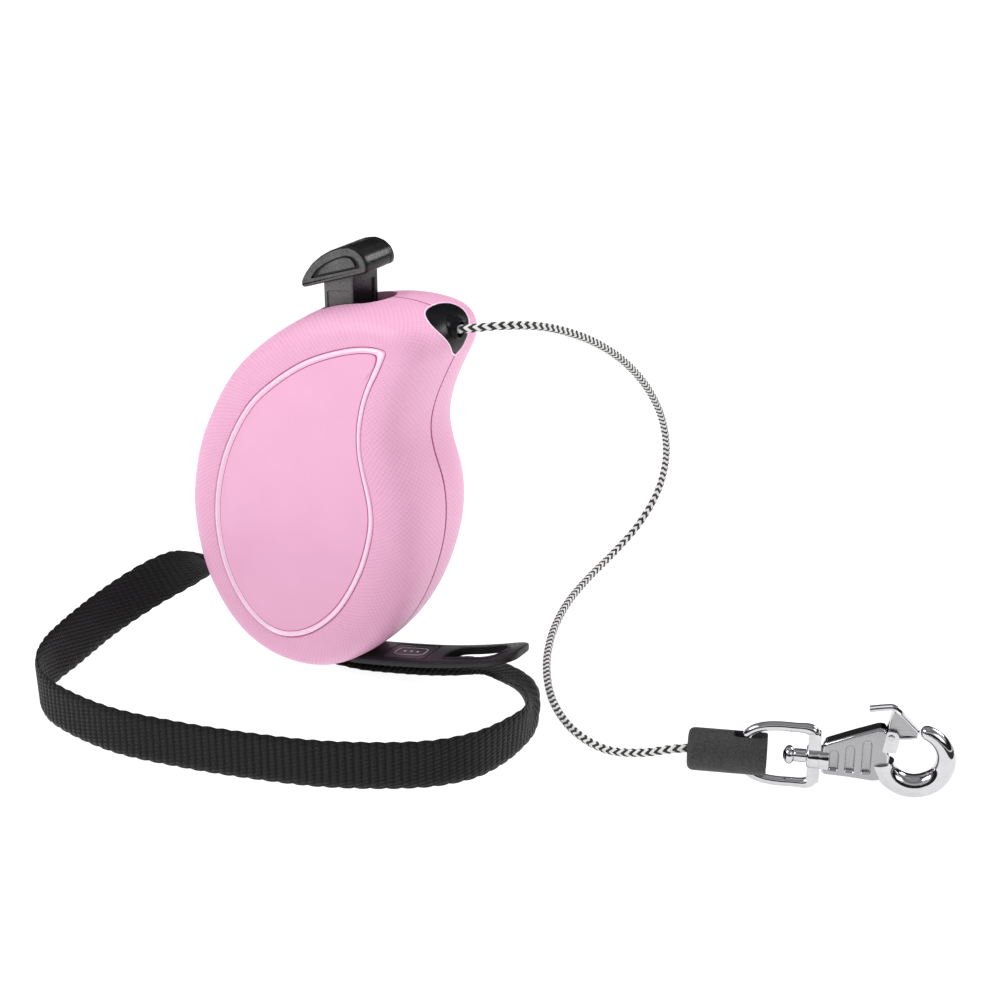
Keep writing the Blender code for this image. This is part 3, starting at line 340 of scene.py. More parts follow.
def bevel(obj, width, segments=3, angle=40, harden=False):
    mod = obj.modifiers.new("Edges", "BEVEL")
    mod.width = width * MM
    mod.segments = segments
    mod.limit_method = "ANGLE"
    mod.angle_limit = math.radians(angle)
    mod.harden_normals = harden
    return mod


def apply_all(obj, sharp=35, weld=True):
    bpy.context.view_layer.update()
    graph = bpy.context.evaluated_depsgraph_get()
    mesh = bpy.data.meshes.new_from_object(obj.evaluated_get(graph))
    obj.modifiers.clear()
    obj.data = mesh
    if weld:
        bm = bmesh.new()
        bm.from_mesh(mesh)
        bmesh.ops.remove_doubles(bm, verts=bm.verts[:], dist=2e-6)
        bmesh.ops.dissolve_degenerate(bm, dist=1e-6, edges=bm.edges[:])
        bm.to_mesh(mesh)
        bm.free()
    smooth(obj, sharp)
    for t in TEMP:
        bpy.data.objects.remove(t, do_unlink=True)
    TEMP.clear()
    return obj


# ------------------------------------------------------------------ material helpers
class Look:
    """A Principled material with short ways to add nodes."""

    def __init__(self, name, color, rough, metal=0.0, **more):
        self.mat = bpy.data.materials.new(name)
        self.mat.use_nodes = True
        self.tree = self.mat.node_tree
        self.shader = self.tree.nodes["Principled BSDF"]
        self.set("Base Color", (*color, 1))
        self.set("Roughness", rough)
        self.set("Metallic", metal)
        for key, value in more.items():
            self.set(key.replace("_", " "), value)
        self.coord = None

    def set(self, key, value):
        self.shader.inputs[key].default_value = value

    def node(self, kind, **values):
        n = self.tree.nodes.new("ShaderNode" + kind)
        for key, value in values.items():
            setattr(n, key, value)
        return n

    def link(self, a, b):
        self.tree.links.new(a, b)

    def feed(self, socket, value):
        if hasattr(value, "is_output"):
            self.link(value, socket)
        else:
            socket.default_value = value

    def math(self, op, a, b=None, clamp=False):
        n = self.node("Math", operation=op, use_clamp=clamp)
        self.feed(n.inputs[0], a)
        if b is not None:
            self.feed(n.inputs[1], b)
        return n.outputs[0]

    def place(self, scale=(1, 1, 1)):
        """Object coordinates in millimetres times scale."""
        if self.coord is None:
            self.coord = self.node("TexCoord")
        m = self.node("Mapping")
        m.inputs["Scale"].default_value = tuple(1000 * s for s in scale)
        self.link(self.coord.outputs["Object"], m.inputs["Vector"])
        return m.outputs[0]

    def surf(self):
        n = self.node("Attribute", attribute_name="surf")
        s = self.node("SeparateXYZ")
        self.link(n.outputs["Vector"], s.inputs[0])
        return s.outputs[0], s.outputs[1], n.outputs["Vector"]

    def noise(self, scale, detail=3.0, rough=0.5, vector=None, distortion=0.0):
        n = self.node("TexNoise")
        n.inputs["Scale"].default_value = scale
        n.inputs["Detail"].default_value = detail
        n.inputs["Roughness"].default_value = rough
        n.inputs["Distortion"].default_value = distortion
        self.link(vector if vector is not None else self.place(), n.inputs["Vector"])
        return n.outputs["Fac"]

    def span(self, value, low, high, to_low, to_high):
        n = self.node("MapRange", clamp=True)
        self.feed(n.inputs["Value"], value)
        for key, v in (("From Min", low), ("From Max", high), ("To Min", to_low), ("To Max", to_high)):
            n.inputs[key].default_value = v
        return n.outputs[0]

    def color(self, fac, a, b):
        n = self.node("Mix", data_type="RGBA")
        self.feed(n.inputs[0], fac)
        n.inputs[6].default_value = (*a, 1)
        n.inputs[7].default_value = (*b, 1)
        return n.outputs[2]

    def bump(self, height, distance, strength=1.0, under=None):
        n = self.node("Bump")
        n.inputs["Strength"].default_value = strength
        n.inputs["Distance"].default_value = distance * MM
        self.link(height, n.inputs["Height"])
        if under is not None:
            self.link(under, n.inputs["Normal"])
        return n.outputs[0]

    def normal(self, out):
        self.link(out, self.shader.inputs["Normal"])

    def rough(self, out):
        self.link(out, self.shader.inputs["Roughness"])

    def base(self, out):
        self.link(out, self.shader.inputs["Base Color"])


PINK = (0.80, 0.41, 0.60)
PINK_GROOVE_SHADE = (0.69, 0.31, 0.49)


def saffiano():
    k = Look("pink_grain", PINK, 0.4, Specular_IOR_Level=0.5)
    u, v, _ = k.surf()
    # two families of slanted ridges, crossing at about a right angle
    pitch = 1.2
    a = k.math("ADD", u, v)
    b = k.math("SUBTRACT", u, v)
    warp = k.noise(0.55, 2.0, 0.5)
    a = k.math("ADD", a, k.math("MULTIPLY", warp, 0.9))
    b = k.math("ADD", b, k.math("MULTIPLY", warp, -0.9))
    wa = k.math("ABSOLUTE", k.math("SINE", k.math("MULTIPLY", a, math.pi / pitch / 1.414)))
    wb = k.math("ABSOLUTE", k.math("SINE", k.math("MULTIPLY", b, math.pi / pitch / 1.414)))
    cell = k.math("MULTIPLY", k.math("POWER", wa, 0.6), k.math("POWER", wb, 0.45))
    fine = k.noise(3.2, 3.0, 0.6)
    height = k.math("ADD", cell, k.math("MULTIPLY", fine, 0.35))
    mottle = k.noise(0.05, 2.0, 0.5)
    # the grooves between the raised cells are coloured darker: painted shade in the grain's hollows; the broad mottle
    # adds random tone
    groove_shade_and_mottle = k.math("ADD", k.span(cell, 0.05, 0.6, 0.0, 0.85), k.span(mottle, 0.35, 0.65, 0.0, 0.15))
    k.base(k.color(groove_shade_and_mottle, PINK_GROOVE_SHADE, PINK))
    k.rough(k.span(fine, 0.3, 0.7, 0.36, 0.5))
    k.normal(k.bump(height, 0.13, 0.6))
    return k.mat


# Paler pink than the shell, for the bead crest and the nozzle rim: a painted highlight along them.
def bead_pink_painted_highlight():
    k = Look("pink_bead_painted_highlight", (0.88, 0.47, 0.70), 0.2, Specular_IOR_Level=0.6)
    fine = k.noise(1.2, 3.0, 0.6)
    k.base(k.color(k.span(fine, 0.3, 0.7, 0.0, 1.0), (0.94, 0.66, 0.83), (0.97, 0.73, 0.88)))
    k.rough(k.span(fine, 0.3, 0.7, 0.14, 0.26))
    k.normal(k.bump(fine, 0.03, 0.4))
    return k.mat


def smooth_pink():
    k = Look("pink_smooth", PINK, 0.36, Specular_IOR_Level=0.4)
    fine = k.noise(1.9, 4.0, 0.65)
    wide = k.noise(0.06, 2.0, 0.5)
    k.base(k.color(k.span(k.math("ADD", k.math("MULTIPLY", fine, 0.5), k.math("MULTIPLY", wide, 0.5)), 0.3, 0.7, 0.0, 1.0), (0.77, 0.385, 0.57), (0.81, 0.42, 0.61)))
    k.rough(k.span(fine, 0.3, 0.7, 0.3, 0.42))
    k.normal(k.bump(fine, 0.05, 0.6))
    return k.mat


# Dark pink for the parting gap between the shells and the grooves beside the bead: painted shade.
def seam_pink_painted_shade():
    k = Look("pink_seam_painted_shade", (0.42, 0.10, 0.235), 0.55, Specular_IOR_Level=0.25)
    fine = k.noise(1.4, 3.0, 0.6)
    k.base(k.color(k.span(fine, 0.3, 0.7, 0.0, 1.0), (0.42, 0.07, 0.20), (0.52, 0.11, 0.27)))
    k.rough(k.span(fine, 0.3, 0.7, 0.45, 0.65))
    k.normal(k.bump(fine, 0.03, 0.4))
    return k.mat


def plastic(name, color, rough, grain=1.6, depth=0.05, spread=0.1, tint=1.35, gloss=0.3):
    k = Look(name, color, rough, Specular_IOR_Level=0.5 if max(color) > 0.3 else gloss)
    fine = k.noise(grain, 4.0, 0.65)
    wide = k.noise(0.12, 3.0, 0.55)
    both = k.math("ADD", k.math("MULTIPLY", fine, 0.55), k.math("MULTIPLY", wide, 0.45))
    k.base(k.color(k.span(both, 0.32, 0.68, 0.0, 1.0), tuple(c / tint for c in color), tuple(min(1, c * tint) for c in color)))
    k.rough(k.span(both, 0.32, 0.68, max(0.04, rough - spread), rough + spread))
    k.normal(k.bump(fine, depth, 0.7))
    return k.mat


def metal(name, color, low, high, depth=0.02, grain=0.8, streak=None):
    k = Look(name, color, (low + high) / 2, 1.0)
    vector = k.place(streak or (1, 1, 1))
    smear = k.noise(grain, 4.0, 0.6, vector)
    wide = k.noise(0.14, 2.0, 0.5)
    k.rough(k.span(smear, 0.3, 0.7, low, high))
    k.base(k.color(k.span(smear, 0.3, 0.7, 0.0, 1.0), tuple(c * 0.9 for c in color), color))
    k.normal(k.bump(wide, depth * 4, 0.5, k.bump(smear, depth, 0.5)))
    return k.mat


def webbing():
    k = Look("nylon_webbing", (0.010, 0.010, 0.011), 0.5, Specular_IOR_Level=0.2)
    k.set("Sheen Weight", 0.02)
    k.set("Sheen Roughness", 0.4)
    u, v, _ = k.surf()
    pitch, dash = 2.2, 1.25
    col = k.math("FLOOR", k.math("DIVIDE", u, pitch))
    fu = k.math("FRACT", k.math("DIVIDE", u, pitch))
    shift = k.math("MULTIPLY", k.math("MODULO", k.math("ABSOLUTE", col), 2.0), 0.5)
    slant = k.math("MULTIPLY", fu, 0.55)
    fv = k.math("FRACT", k.math("ADD", k.math("ADD", k.math("DIVIDE", v, dash), shift), slant))
    across = k.math("SINE", k.math("MULTIPLY", fu, math.pi))
    along = k.math("SINE", k.math("MULTIPLY", fv, math.pi))
    yarn = k.math("MULTIPLY", k.math("POWER", across, 0.6), k.math("POWER", along, 0.7))
    # single filaments inside each yarn
    fil = k.math("SINE", k.math("MULTIPLY", k.math("ADD", v, k.math("MULTIPLY", u, 0.45)), 2 * math.pi / 0.21))
    fuzz = k.noise(2.6, 4.0, 0.7)
    height = k.math("ADD", k.math("ADD", yarn, k.math("MULTIPLY", fil, 0.05)), k.math("MULTIPLY", fuzz, 0.12))
    # yarn crowns are coloured lighter and the gaps between yarns darker: painted highlight and painted shade, varied by
    # the fuzz noise
    k.base(k.color(k.math("MULTIPLY", yarn, k.span(fuzz, 0.3, 0.7, 0.5, 1.0)), (0.001, 0.001, 0.0012), (0.015, 0.015, 0.0165)))
    k.rough(k.span(fuzz, 0.3, 0.7, 0.38, 0.6))
    k.normal(k.bump(height, 0.42, 0.95))
    return k.mat


def yarn(name, dark, light):
    k = Look(name, light, 0.62)
    k.set("Sheen Weight", 0.2)
    u, v, vec = k.surf()
    fil = k.math("SINE", k.math("MULTIPLY", u, 2 * math.pi / 0.16))
    fuzz = k.noise(5.0, 3.0, 0.7)
    h = k.math("ADD", k.math("MULTIPLY", fil, 0.5), fuzz)
    # the colour follows the same relief as the bump: darker in the grooves between filaments, painted shade, and varied
    # at random by the fuzz noise
    k.base(k.color(k.span(h, 0.0, 1.1, 0.0, 1.0), dark, light))
    k.rough(k.span(fuzz, 0.3, 0.7, 0.5, 0.75))
    k.normal(k.bump(h, 0.05, 0.7))
    return k.mat


def rubber():
    k = Look("matt_rubber", (0.022, 0.022, 0.023), 0.6, Specular_IOR_Level=0.35)
    speck = k.noise(2.4, 5.0, 0.75)
    wide = k.noise(0.3, 3.0, 0.6)
    k.base(k.color(k.span(speck, 0.35, 0.68, 0.0, 1.0), (0.010, 0.010, 0.011), (0.065, 0.065, 0.067)))
    k.rough(k.span(wide, 0.3, 0.7, 0.48, 0.7))
    k.normal(k.bump(speck, 0.12, 0.9))
    return k.mat


M = {
    "grain": saffiano(),
    "smooth": smooth_pink(),
    "bead": bead_pink_painted_highlight(),
    "seam": seam_pink_painted_shade(),
    "black": plastic("satin_black_plastic", (0.006, 0.006, 0.0065), 0.3, 1.3, 0.09, 0.08),
    "stem": plastic("spark_eroded_black", (0.074, 0.073, 0.074), 0.42, 1.5, 0.2, 0.1, 1.9),
    "guide": plastic("gloss_black_guide", (0.004, 0.004, 0.005), 0.28, 0.9, 0.03, 0.06, 1.3, 0.14),
    "reel": plastic("white_acetal", (0.72, 0.72, 0.70), 0.42, 0.9, 0.04, 0.08, 1.06),
    "spring": metal("spring_steel_strip", (0.42, 0.44, 0.48), 0.18, 0.38, 0.02, 0.6, (1, 0.15, 1)),
    "steel": metal("turned_steel", (0.58, 0.58, 0.60), 0.18, 0.36, 0.02, 1.4, (1, 1, 0.3)),
    "web": webbing(),
    "white_yarn": yarn("white_yarn", (0.66, 0.66, 0.64), (0.92, 0.92, 0.90)),
    "black_yarn": yarn("black_yarn", (0.003, 0.003, 0.003), (0.016, 0.016, 0.017)),
    "rubber": rubber(),
    "chrome": metal("polished_chrome", (0.62, 0.62, 0.64), 0.03, 0.09, 0.006, 0.5),
    "satin": metal("satin_chrome", (0.40, 0.40, 0.41), 0.22, 0.42, 0.05, 1.9),
    "badge": plastic("badge_patch", (0.030, 0.030, 0.033), 0.3, 1.4, 0.05, 0.08, 1.3),
    "print": plastic("pale_print", (0.62, 0.62, 0.63), 0.45, 1.5, 0.02, 0.1, 1.15),
    "tab": plastic("tab_elastomer", (0.010, 0.010, 0.011), 0.38, 1.1, 0.09, 0.1, 1.6),
}

SHOWN = []


def piece(obj, body, slot, *nodes):
    """obj rides its body and stands for the named CAD nodes; slot is not used."""
    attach(obj, body)
    if nodes:
        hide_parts(*nodes)
    SHOWN.append(obj)
    return obj


# ------------------------------------------------------------------ housing shells
def curve_points(count):
    spline = periodic_spline(OUTLINE)
    n = len(OUTLINE)
    dense = np.array([spline_at(spline, n * k / 4096) for k in range(4096)])
    closed = np.vstack([dense, dense[:1]])
    s = np.r_[0, np.cumsum(np.linalg.norm(np.diff(closed[:, :2], axis=0), axis=1))]
    u = np.linspace(0, s[-1], count, endpoint=False)
    p = np.stack([np.interp(u, s, closed[:, k]) for k in range(4)], 1)
    return p[:, :2], p[:, 2:], u, s[-1]


def nearest(q, loop):
    b = np.roll(loop, -1, 0) - loop
    t = np.clip(((q - loop) * b).sum(1) / np.maximum((b * b).sum(1), 1e-9), 0, 1)
    return np.sqrt((((q - loop) - b * t[:, None]) ** 2).sum(1)).min()


def inset(loop, d):
    tangent = np.roll(loop, -1, 0) - np.roll(loop, 1, 0)
    normal = np.stack([-tangent[:, 1], tangent[:, 0]], 1)
    normal /= np.linalg.norm(normal, axis=1)[:, None]
    out = loop + normal * d
    core = np.array(PANEL_CORE)
    for i, q in enumerate(out):
        if nearest(q, loop) < 0.97 * d:
            way = core - loop[i]
            way /= np.linalg.norm(way)
            step = d
            while nearest(loop[i] + way * step, loop) < d and step < 12 * d:
                step += 0.1
            out[i] = loop[i] + way * step
    return out


def soften(loop, passes):
    """Rounds the panel's nose a little more with each ring inwards."""
    for _ in range(passes):
        loop = 0.5 * loop + 0.25 * (np.roll(loop, 1, 0) + np.roll(loop, -1, 0))
    return loop


COUNT = 288
OUTER, PANEL, ALONG, AROUND = curve_points(COUNT)
PANEL = soften(PANEL, 8)
INNER_WALL = inset(OUTER, WALL)


def level(outer, panel, t, depth):
    c = (1 - abs(t) ** SHELL_POWER) ** (1 / SHELL_POWER)
    return [(x, depth * t, z) for x, z in panel + (outer - panel) * c]


def flat(loop, y):
    return [(x, y, z) for x, z in loop]


def dome(x, z, edge):
    """Height of the near panel: a smooth crown that fades out towards its border."""
    d = nearest(np.array((x, z)), edge)
    crown = max(0.15, 1 - 0.55 * (((x - 3.5) / 30) ** 2 + ((z - 60) / 47) ** 2))
    return HALF_DEPTH - 0.35 + 1.1 * crown * (1 - math.exp(-((d / 6) ** 2)))


def shell(name, side):
    bm = bmesh.new()
    layer = bm.loops.layers.float_vector.new("surf")
    rows, looks = [], []

    def add(row, look):
        rows.append([(x, side * y, z) for x, y, z in row])
        looks.append(look)

    add(flat(PANEL, HALF_DEPTH - WALL), 1)
    for t in (0.985, 0.92, 0.78, 0.5):
        add(level(INNER_WALL, PANEL, t, HALF_DEPTH - WALL), 1)
    # the parting faces and their chamfers take the dark seam material: painted shade in the gap between the shells
    add(flat(INNER_WALL, 0.12), 3)
    add(flat(inset(OUTER, 0.5), 0.12), 3)
    add(flat(inset(OUTER, 0.22), 0.2), 3)
    add(flat(inset(OUTER, 0.05), 0.3), 1)
    grain_start = len(rows)
    add(level(OUTER, PANEL, 0.022, HALF_DEPTH), 0)
    for t in (0.06, 0.12, 0.2, 0.3, 0.4, 0.5, 0.6, 0.68, 0.75, 0.81, 0.86, 0.9, 0.93, 0.955, 0.975, 0.988, 0.9955, 0.9988, 0.9998):
        add(level(OUTER, PANEL, t, HALF_DEPTH), 0)
    # the bead's crest rows take the pale bead material, a painted highlight along the bead; the rows at its two grooves
    # take the dark seam material, painted shade in the grooves
    bead = [(0.04, -0.12), (0.12, -0.42), (0.28, -0.58), (0.44, -0.48), (0.56, -0.10), (0.72, 0.17), (0.98, 0.30), (1.24, 0.20), (1.44, -0.04), (1.6, -0.34), (1.76, -0.50), (1.96, -0.46), (2.25, -0.35)]
    for k, (d, y) in enumerate(bead):
        add(flat(soften(inset(PANEL, d), round(8 * d)), HALF_DEPTH + y), 2 if 3 <= k <= 10 else 3 if k in (2, 11) else 1)
    edge = soften(inset(PANEL, 2.25), 18)
    mid = np.array(PANEL_MID)
    for f in (0.98, 0.95, 0.91, 0.86, 0.8, 0.72, 0.63, 0.54, 0.45, 0.36, 0.27, 0.18, 0.09):
        add([(x, dome(x, z, edge), z) for x, z in mid + (edge - mid) * f], 1)
    across = np.zeros((len(rows), COUNT))
    for k in range(1, len(rows)):
        if k <= grain_start:
            continue
        across[k] = across[k - 1] + np.linalg.norm(np.array(rows[k]) - np.array(rows[k - 1]), axis=1)
    made = skin(bm, rows, (True, False), looks, layer, (ALONG, across))
    hub = bm.verts.new((mid[0], side * dome(mid[0], mid[1], edge), mid[1]))
    last = made[-1]
    for i in range(COUNT):
        f = bm.faces.new((last[i], last[(i + 1) % COUNT], hub))
        f.material_index = 1
    return finish_mesh(name, bm, [M["grain"], M["smooth"], M["bead"], M["seam"]])


NOSE_A = np.array((44.2, 120.3))
NOSE_B = np.array((50.7, 108.0))
NOSE_DOWN = (NOSE_B - NOSE_A) / np.linalg.norm(NOSE_B - NOSE_A)
NOSE_OUT = np.array((-NOSE_DOWN[1], NOSE_DOWN[0]))


def nozzle_outline(grow, per=10):
    half = [(-0.6, 0.0), (-0.3, 3.5), (0.9, 6.4), (3.2, 8.0), (5.6, 7.7), (8.2, 6.2), (10.8, 4.2), (12.9, 2.2), (13.9, 0.0)]
    s = open_spline([(a, b, 0) for a, b in half], per)[:, :2]
    loop = np.vstack([s, s[-2:0:-1] * np.array([1, -1])])
    t = np.roll(loop, -1, 0) - np.roll(loop, 1, 0)
    nrm = np.stack([t[:, 1], -t[:, 0]], 1)
    nrm /= np.linalg.norm(nrm, axis=1)[:, None]
    if ((loop - np.array([5.5, 0])) * nrm).sum() < 0:
        nrm = -nrm
    return loop + nrm * grow


def nose_place(a, b, d):
    x, z = NOSE_A + NOSE_DOWN * a + NOSE_OUT * d
    return (x, b, z)


def slot_outline(x0, x1, hy):
    pts = [(x0 + 1.2, -hy), (x1 - 6.5, -hy)]
    for k in range(1, 24):
        a = -math.pi / 2 + math.pi * k / 24
        pts.append((x1 - 6.5 + 6.5 * math.cos(a), hy * math.sin(a)))
    pts += [(x1 - 6.5, hy), (x0 + 1.2, hy), (x0 + 0.3, hy - 0.4), (x0, hy - 1.2), (x0, -hy + 1.2), (x0 + 0.3, -hy + 0.4)]
    return pts


def turned_box(low, high, turn, about):
    bm = bmesh.new()
    pts = rounded([(low[1], low[2]), (high[1], low[2]), (high[1], high[2]), (low[1], high[2])], 1.0, 5)
    skin(bm, [[(x, y, z) for y, z in pts] for x in (low[0], high[0])])
    c, m = Vector(about), Matrix.Rotation(turn, 3, "Y")
    for v in bm.verts:
        v.co = c + m @ (v.co - c)
    return bm


def inside_housing(x, y, z, grow=0.0):
    t = min(abs(y) / HALF_DEPTH, 1.0)
    c = (1 - t**SHELL_POWER) ** (1 / SHELL_POWER)
    loop = PANEL + (OUTER - PANEL) * c
    a, b = loop, np.roll(loop, -1, 0)
    hit = (a[:, 1] > z) != (b[:, 1] > z)
    xs = a[hit, 0] + (z - a[hit, 1]) / (b[hit, 1] - a[hit, 1]) * (b[hit, 0] - a[hit, 0])
    return int((xs > x).sum()) % 2 == 1


def surface_depth(a, b):
    low, high = -12.0, 6.0
    for _ in range(22):
        mid = (low + high) / 2
        if inside_housing(*nose_place(a, b, mid)):
            low = mid
        else:
            high = mid
    return low


shells = {}
for name, side in (("left_shell", -1), ("right_shell", 1)):
    obj = shell(name + "_skin", side)
    boolean(obj, tool(prism(nozzle_outline(0.3), -7.6, 14, nose_place), 1), "DIFFERENCE", "MANIFOLD")
    boolean(obj, tool(prism(slot_outline(8.4, 29.5, 7.1), 106, 128, lambda a, b, d: (a, b, d)), 1), "DIFFERENCE", "MANIFOLD")
    boolean(obj, tool(turned_box((2.0, -8.0, -0.9), (24, 8.0, 6.4), math.radians(-12.0), (14, 0, 3.0)), 1), "DIFFERENCE", "MANIFOLD")
    boolean(obj, tool(turned_box((-46.0, -8.0, 24.9), (-33.6, 8.0, 27.9), math.radians(-23), (-35.0, 0, 26.2)), 1), "DIFFERENCE", "MANIFOLD")
    for x, z in SCREWS:
        if side > 0:
            boolean(obj, tool(stack_between((x, 24, z), (x, 11.0, z), [(0, 4.6), (5.6, 2.75), (6.1, 2.4), (13, 2.4)], 40), 1), "DIFFERENCE", "MANIFOLD")
    apply_all(obj)
    shells[name] = piece(obj, "housing", "shell_pink", name)

# screw wells inside the right shell, seen down the sinks
wells = bmesh.new()
for x, z in SCREWS:
    deep = 18.5
    while deep > 12.0 and not all(inside_housing(x + 3.3 * math.cos(a), deep, z + 3.3 * math.sin(a)) for a in np.linspace(0, 2 * math.pi, 9)):
        deep -= 0.25
    stack_between((x, deep - 0.4, z), (x, 10.9, z), [(0, 3.1), (0, 2.41), (deep - 11.3, 2.41), (deep - 11.3, 1.25), (deep - 10.9, 1.25), (deep - 10.9, 3.1), (0.1, 3.1)], 40, (False, False), wells)
piece(finish_mesh("screw_wells", wells, [M["smooth"]]), "housing", "shell_pink")


def sweep(points, radius, steps=12, closed=False, bm=None, look=0, caps=True):
    """A round bar along points (3-D, millimetres)."""
    p = np.asarray(points, float)
    n = len(p)
    if closed:
        t = np.roll(p, -1, 0) - np.roll(p, 1, 0)
    else:
        t = np.gradient(p, axis=0)
    t /= np.linalg.norm(t, axis=1)[:, None]
    e = np.cross(t[0], (0.3, 0.9, 0.2))
    e /= np.linalg.norm(e)
    rows = []
    for i in range(n):
        e = e - t[i] * (e @ t[i])
        e /= np.linalg.norm(e)
        f = np.cross(t[i], e)
        r = radius[i] if hasattr(radius, "__len__") else radius
        rows.append([tuple(p[i] + r * (math.cos(2 * math.pi * k / steps) * e + math.sin(2 * math.pi * k / steps) * f)) for k in range(steps)])
    bm = bm or bmesh.new()
    if closed:
        made = skin(bm, rows, (False, False), look)
        a, b = made[-1], made[0]
        # the frame may have turned by a few degrees on its way round
        best = min(range(steps), key=lambda s: sum((a[i].co - b[(i + s) % steps].co).length for i in range(steps)))
        for i in range(steps):
            j = (i + 1) % steps
            f = bm.faces.new((a[i], a[j], b[(j + best) % steps], b[(i + best) % steps]))
            f.material_index = look
    else:
        skin(bm, rows, (caps, caps), look)
    return bm


# a moulded rim round the nozzle opening
rim = []
for a, b in nozzle_outline(0.5, 8):
    rim.append(nose_place(a, b, surface_depth(a, b) - 0.05))
bm = sweep(rim, 0.24, 12, True)
# the rim takes the pale bead material: a painted highlight along the rim
piece(finish_mesh("nozzle_rim", bm, [M["bead"]]), "housing", "shell_pink")

# ------------------------------------------------------------------ nozzle guide
guide = finish_mesh("nozzle_guide", prism(nozzle_outline(0.05), -7.2, 9, nose_place), [M["guide"]])
body = bmesh.new()
rows = []
for t in np.sin(np.linspace(-math.pi / 2 * 0.97, math.pi / 2 * 0.97, 41)):
    rows.append(level(OUTER + (OUTER - np.array([40.0, 100.0])) * 0.004, PANEL, float(t), HALF_DEPTH))
skin(body, rows)
boolean(guide, tool(body), "INTERSECT")
lip = [(0, 3.5), (4.6, 3.5), (5.3, 3.35), (5.8, 3.1), (6.3, 2.85), (6.6, 2.55), (6.65, 2.25), (6.5, 2.0)]
boolean(guide, tool(stack_between((46.0, 0, NOZZLE[1]), (60, 0, NOZZLE[1]), lip, 64)), "UNION")
bore = [(0, 2.6), (6.5, 2.6), (9, 1.65), (16.0, 1.65), (17.4, 1.8), (18.2, 2.05), (18.8, 2.4), (26, 3.4)]
boolean(guide, tool(stack_between((34.0, 0, NOZZLE[1]), (60, 0, NOZZLE[1]), bore, 64)), "DIFFERENCE")
apply_all(guide, 30)
piece(guide, "housing", "guide_black", "cord_guide")

# ------------------------------------------------------------------ brake button
CAP = [
    (2.2, 122.3), (3.0, 121.8), (9.3, 123.9), (15.0, 125.8), (21.1, 127.9), (25.2, 129.3), (25.7, 130.6), (25.5, 132.2),
    (24.5, 134.1), (22.3, 135.6), (19.4, 136.2), (16.2, 135.6), (12.6, 134.1), (9.2, 132.0), (6.0, 129.3), (3.6, 126.2), (2.2, 123.6),
]


def cap_loop(shrink=0.0):
    loop = closed_spline(rounded(CAP, 0.7, 4), 3)
    if shrink:
        t = np.roll(loop, -1, 0) - np.roll(loop, 1, 0)
        nrm = np.stack([-t[:, 1], t[:, 0]], 1)
        nrm /= np.linalg.norm(nrm, axis=1)[:, None]
        if ((np.mean(loop, 0) - loop) * nrm).sum() < 0:
            nrm = -nrm
        loop = loop + nrm * shrink
    return loop


bm = bmesh.new()
rows = []
for y, d in ((-7.4, 1.15), (-7.4, 0.75), (-7.25, 0.4), (-6.95, 0.14), (-6.5, 0.0), (-5.3, 0.0), (-5.15, 0.12), (-4.95, 0.12), (-3, 0.0), (3, 0.0), (4.95, 0.12), (5.15, 0.12), (5.3, 0.0), (6.5, 0.0), (6.95, 0.14), (7.25, 0.4), (7.4, 0.75), (7.4, 1.15)):
    rows.append([(x, y, z) for x, z in cap_loop(d)])
skin(bm, rows)
button = finish_mesh("button_cap", bm, [M["black"], M["stem"]])
GROOVE = [(6.4, 125.3), (23.0, 130.7), (22.4, 132.2), (20.6, 133.6), (17.8, 133.4), (14.2, 131.9), (11.2, 130.2), (8.6, 128.2)]
mid = np.mean(np.array(GROOVE), axis=0)
for side in (-1, 1):
    outer = rounded([tuple(mid + (np.array(p) - mid) * 1.08) for p in GROOVE], 0.9, 5)
    small = rounded([tuple(mid + (np.array(p) - mid) * 0.84) for p in GROOVE], 0.8, 5)
    ring = bmesh.new()
    skin(ring, [[(x, side * y, z) for x, z in outer] for y in (6.75, 8.2)])
    boolean(button, tool(ring), "DIFFERENCE")
    island = bmesh.new()
    inner = np.mean(small, axis=0)
    skin(island, [[(x, side * y, z) for x, z in inner + (small - inner) * f] for y, f in ((6.6, 1.0), (7.05, 1.0), (7.2, 0.97), (7.25, 0.93))])
    boolean(button, tool(island), "UNION")
apply_all(button, 32)
# the flat ends are moulded with a spark-eroded grain, the thumb surface is satin
for poly in button.data.polygons:
    if abs(poly.normal.y) > 0.9 and abs(poly.center.y / MM + ORIGIN[1]) > 7.0:
        poly.material_index = 1
piece(button, "button", "black_plastic", "brake_button")

# the stem: a moulded box with shallow recessed panels between ribbed corners
bm = bmesh.new()
cross = rounded([(9.7, -6.5), (20.0, -6.5), (20.0, 6.5), (9.7, 6.5)], 0.7, 5)
skin(bm, [[(x, y, z) for x, y in cross] for z in (100.2, 104, 110, 116, 122, 126, 130.0)])
stem = finish_mesh("button_stem", bm, [M["stem"], M["black"]])
for side in (-1, 1):
    pane = rounded([(11.0, 104.0), (18.7, 104.0), (18.7, 123.2), (11.0, 122.0)], 0.6, 4)
    cut = bmesh.new()
    skin(cut, [[(x, side * y, z) for x, z in pane] for y in (6.15, 8.0)])
    boolean(stem, tool(cut), "DIFFERENCE")
pane = rounded([(-4.9, 104.0), (4.9, 104.0), (4.9, 124.8), (-4.9, 124.8)], 0.6, 4)
cut = bmesh.new()
skin(cut, [[(x, y, z) for y, z in pane] for x in (19.4, 22.0)])
boolean(stem, tool(cut, 1), "DIFFERENCE")
apply_all(stem, 32)
for poly in stem.data.polygons:
    poly.material_index = 0 if abs(poly.normal.y) > 0.5 else 1
piece(stem, "button", "black_plastic")

bm = bmesh.new()
foot = rounded([(8.7, -7.0), (21.0, -7.0), (21.0, 7.0), (8.7, 7.0)], 0.8, 5)
skin(bm, [[(x, y, z) for x, y in foot] for z in (100.0, 102.0)])
foot_obj = finish_mesh("button_stop", bm, [M["stem"]])
bevel(foot_obj, 0.3, 2)
apply_all(foot_obj, 32)
piece(foot_obj, "button", "black_plastic")


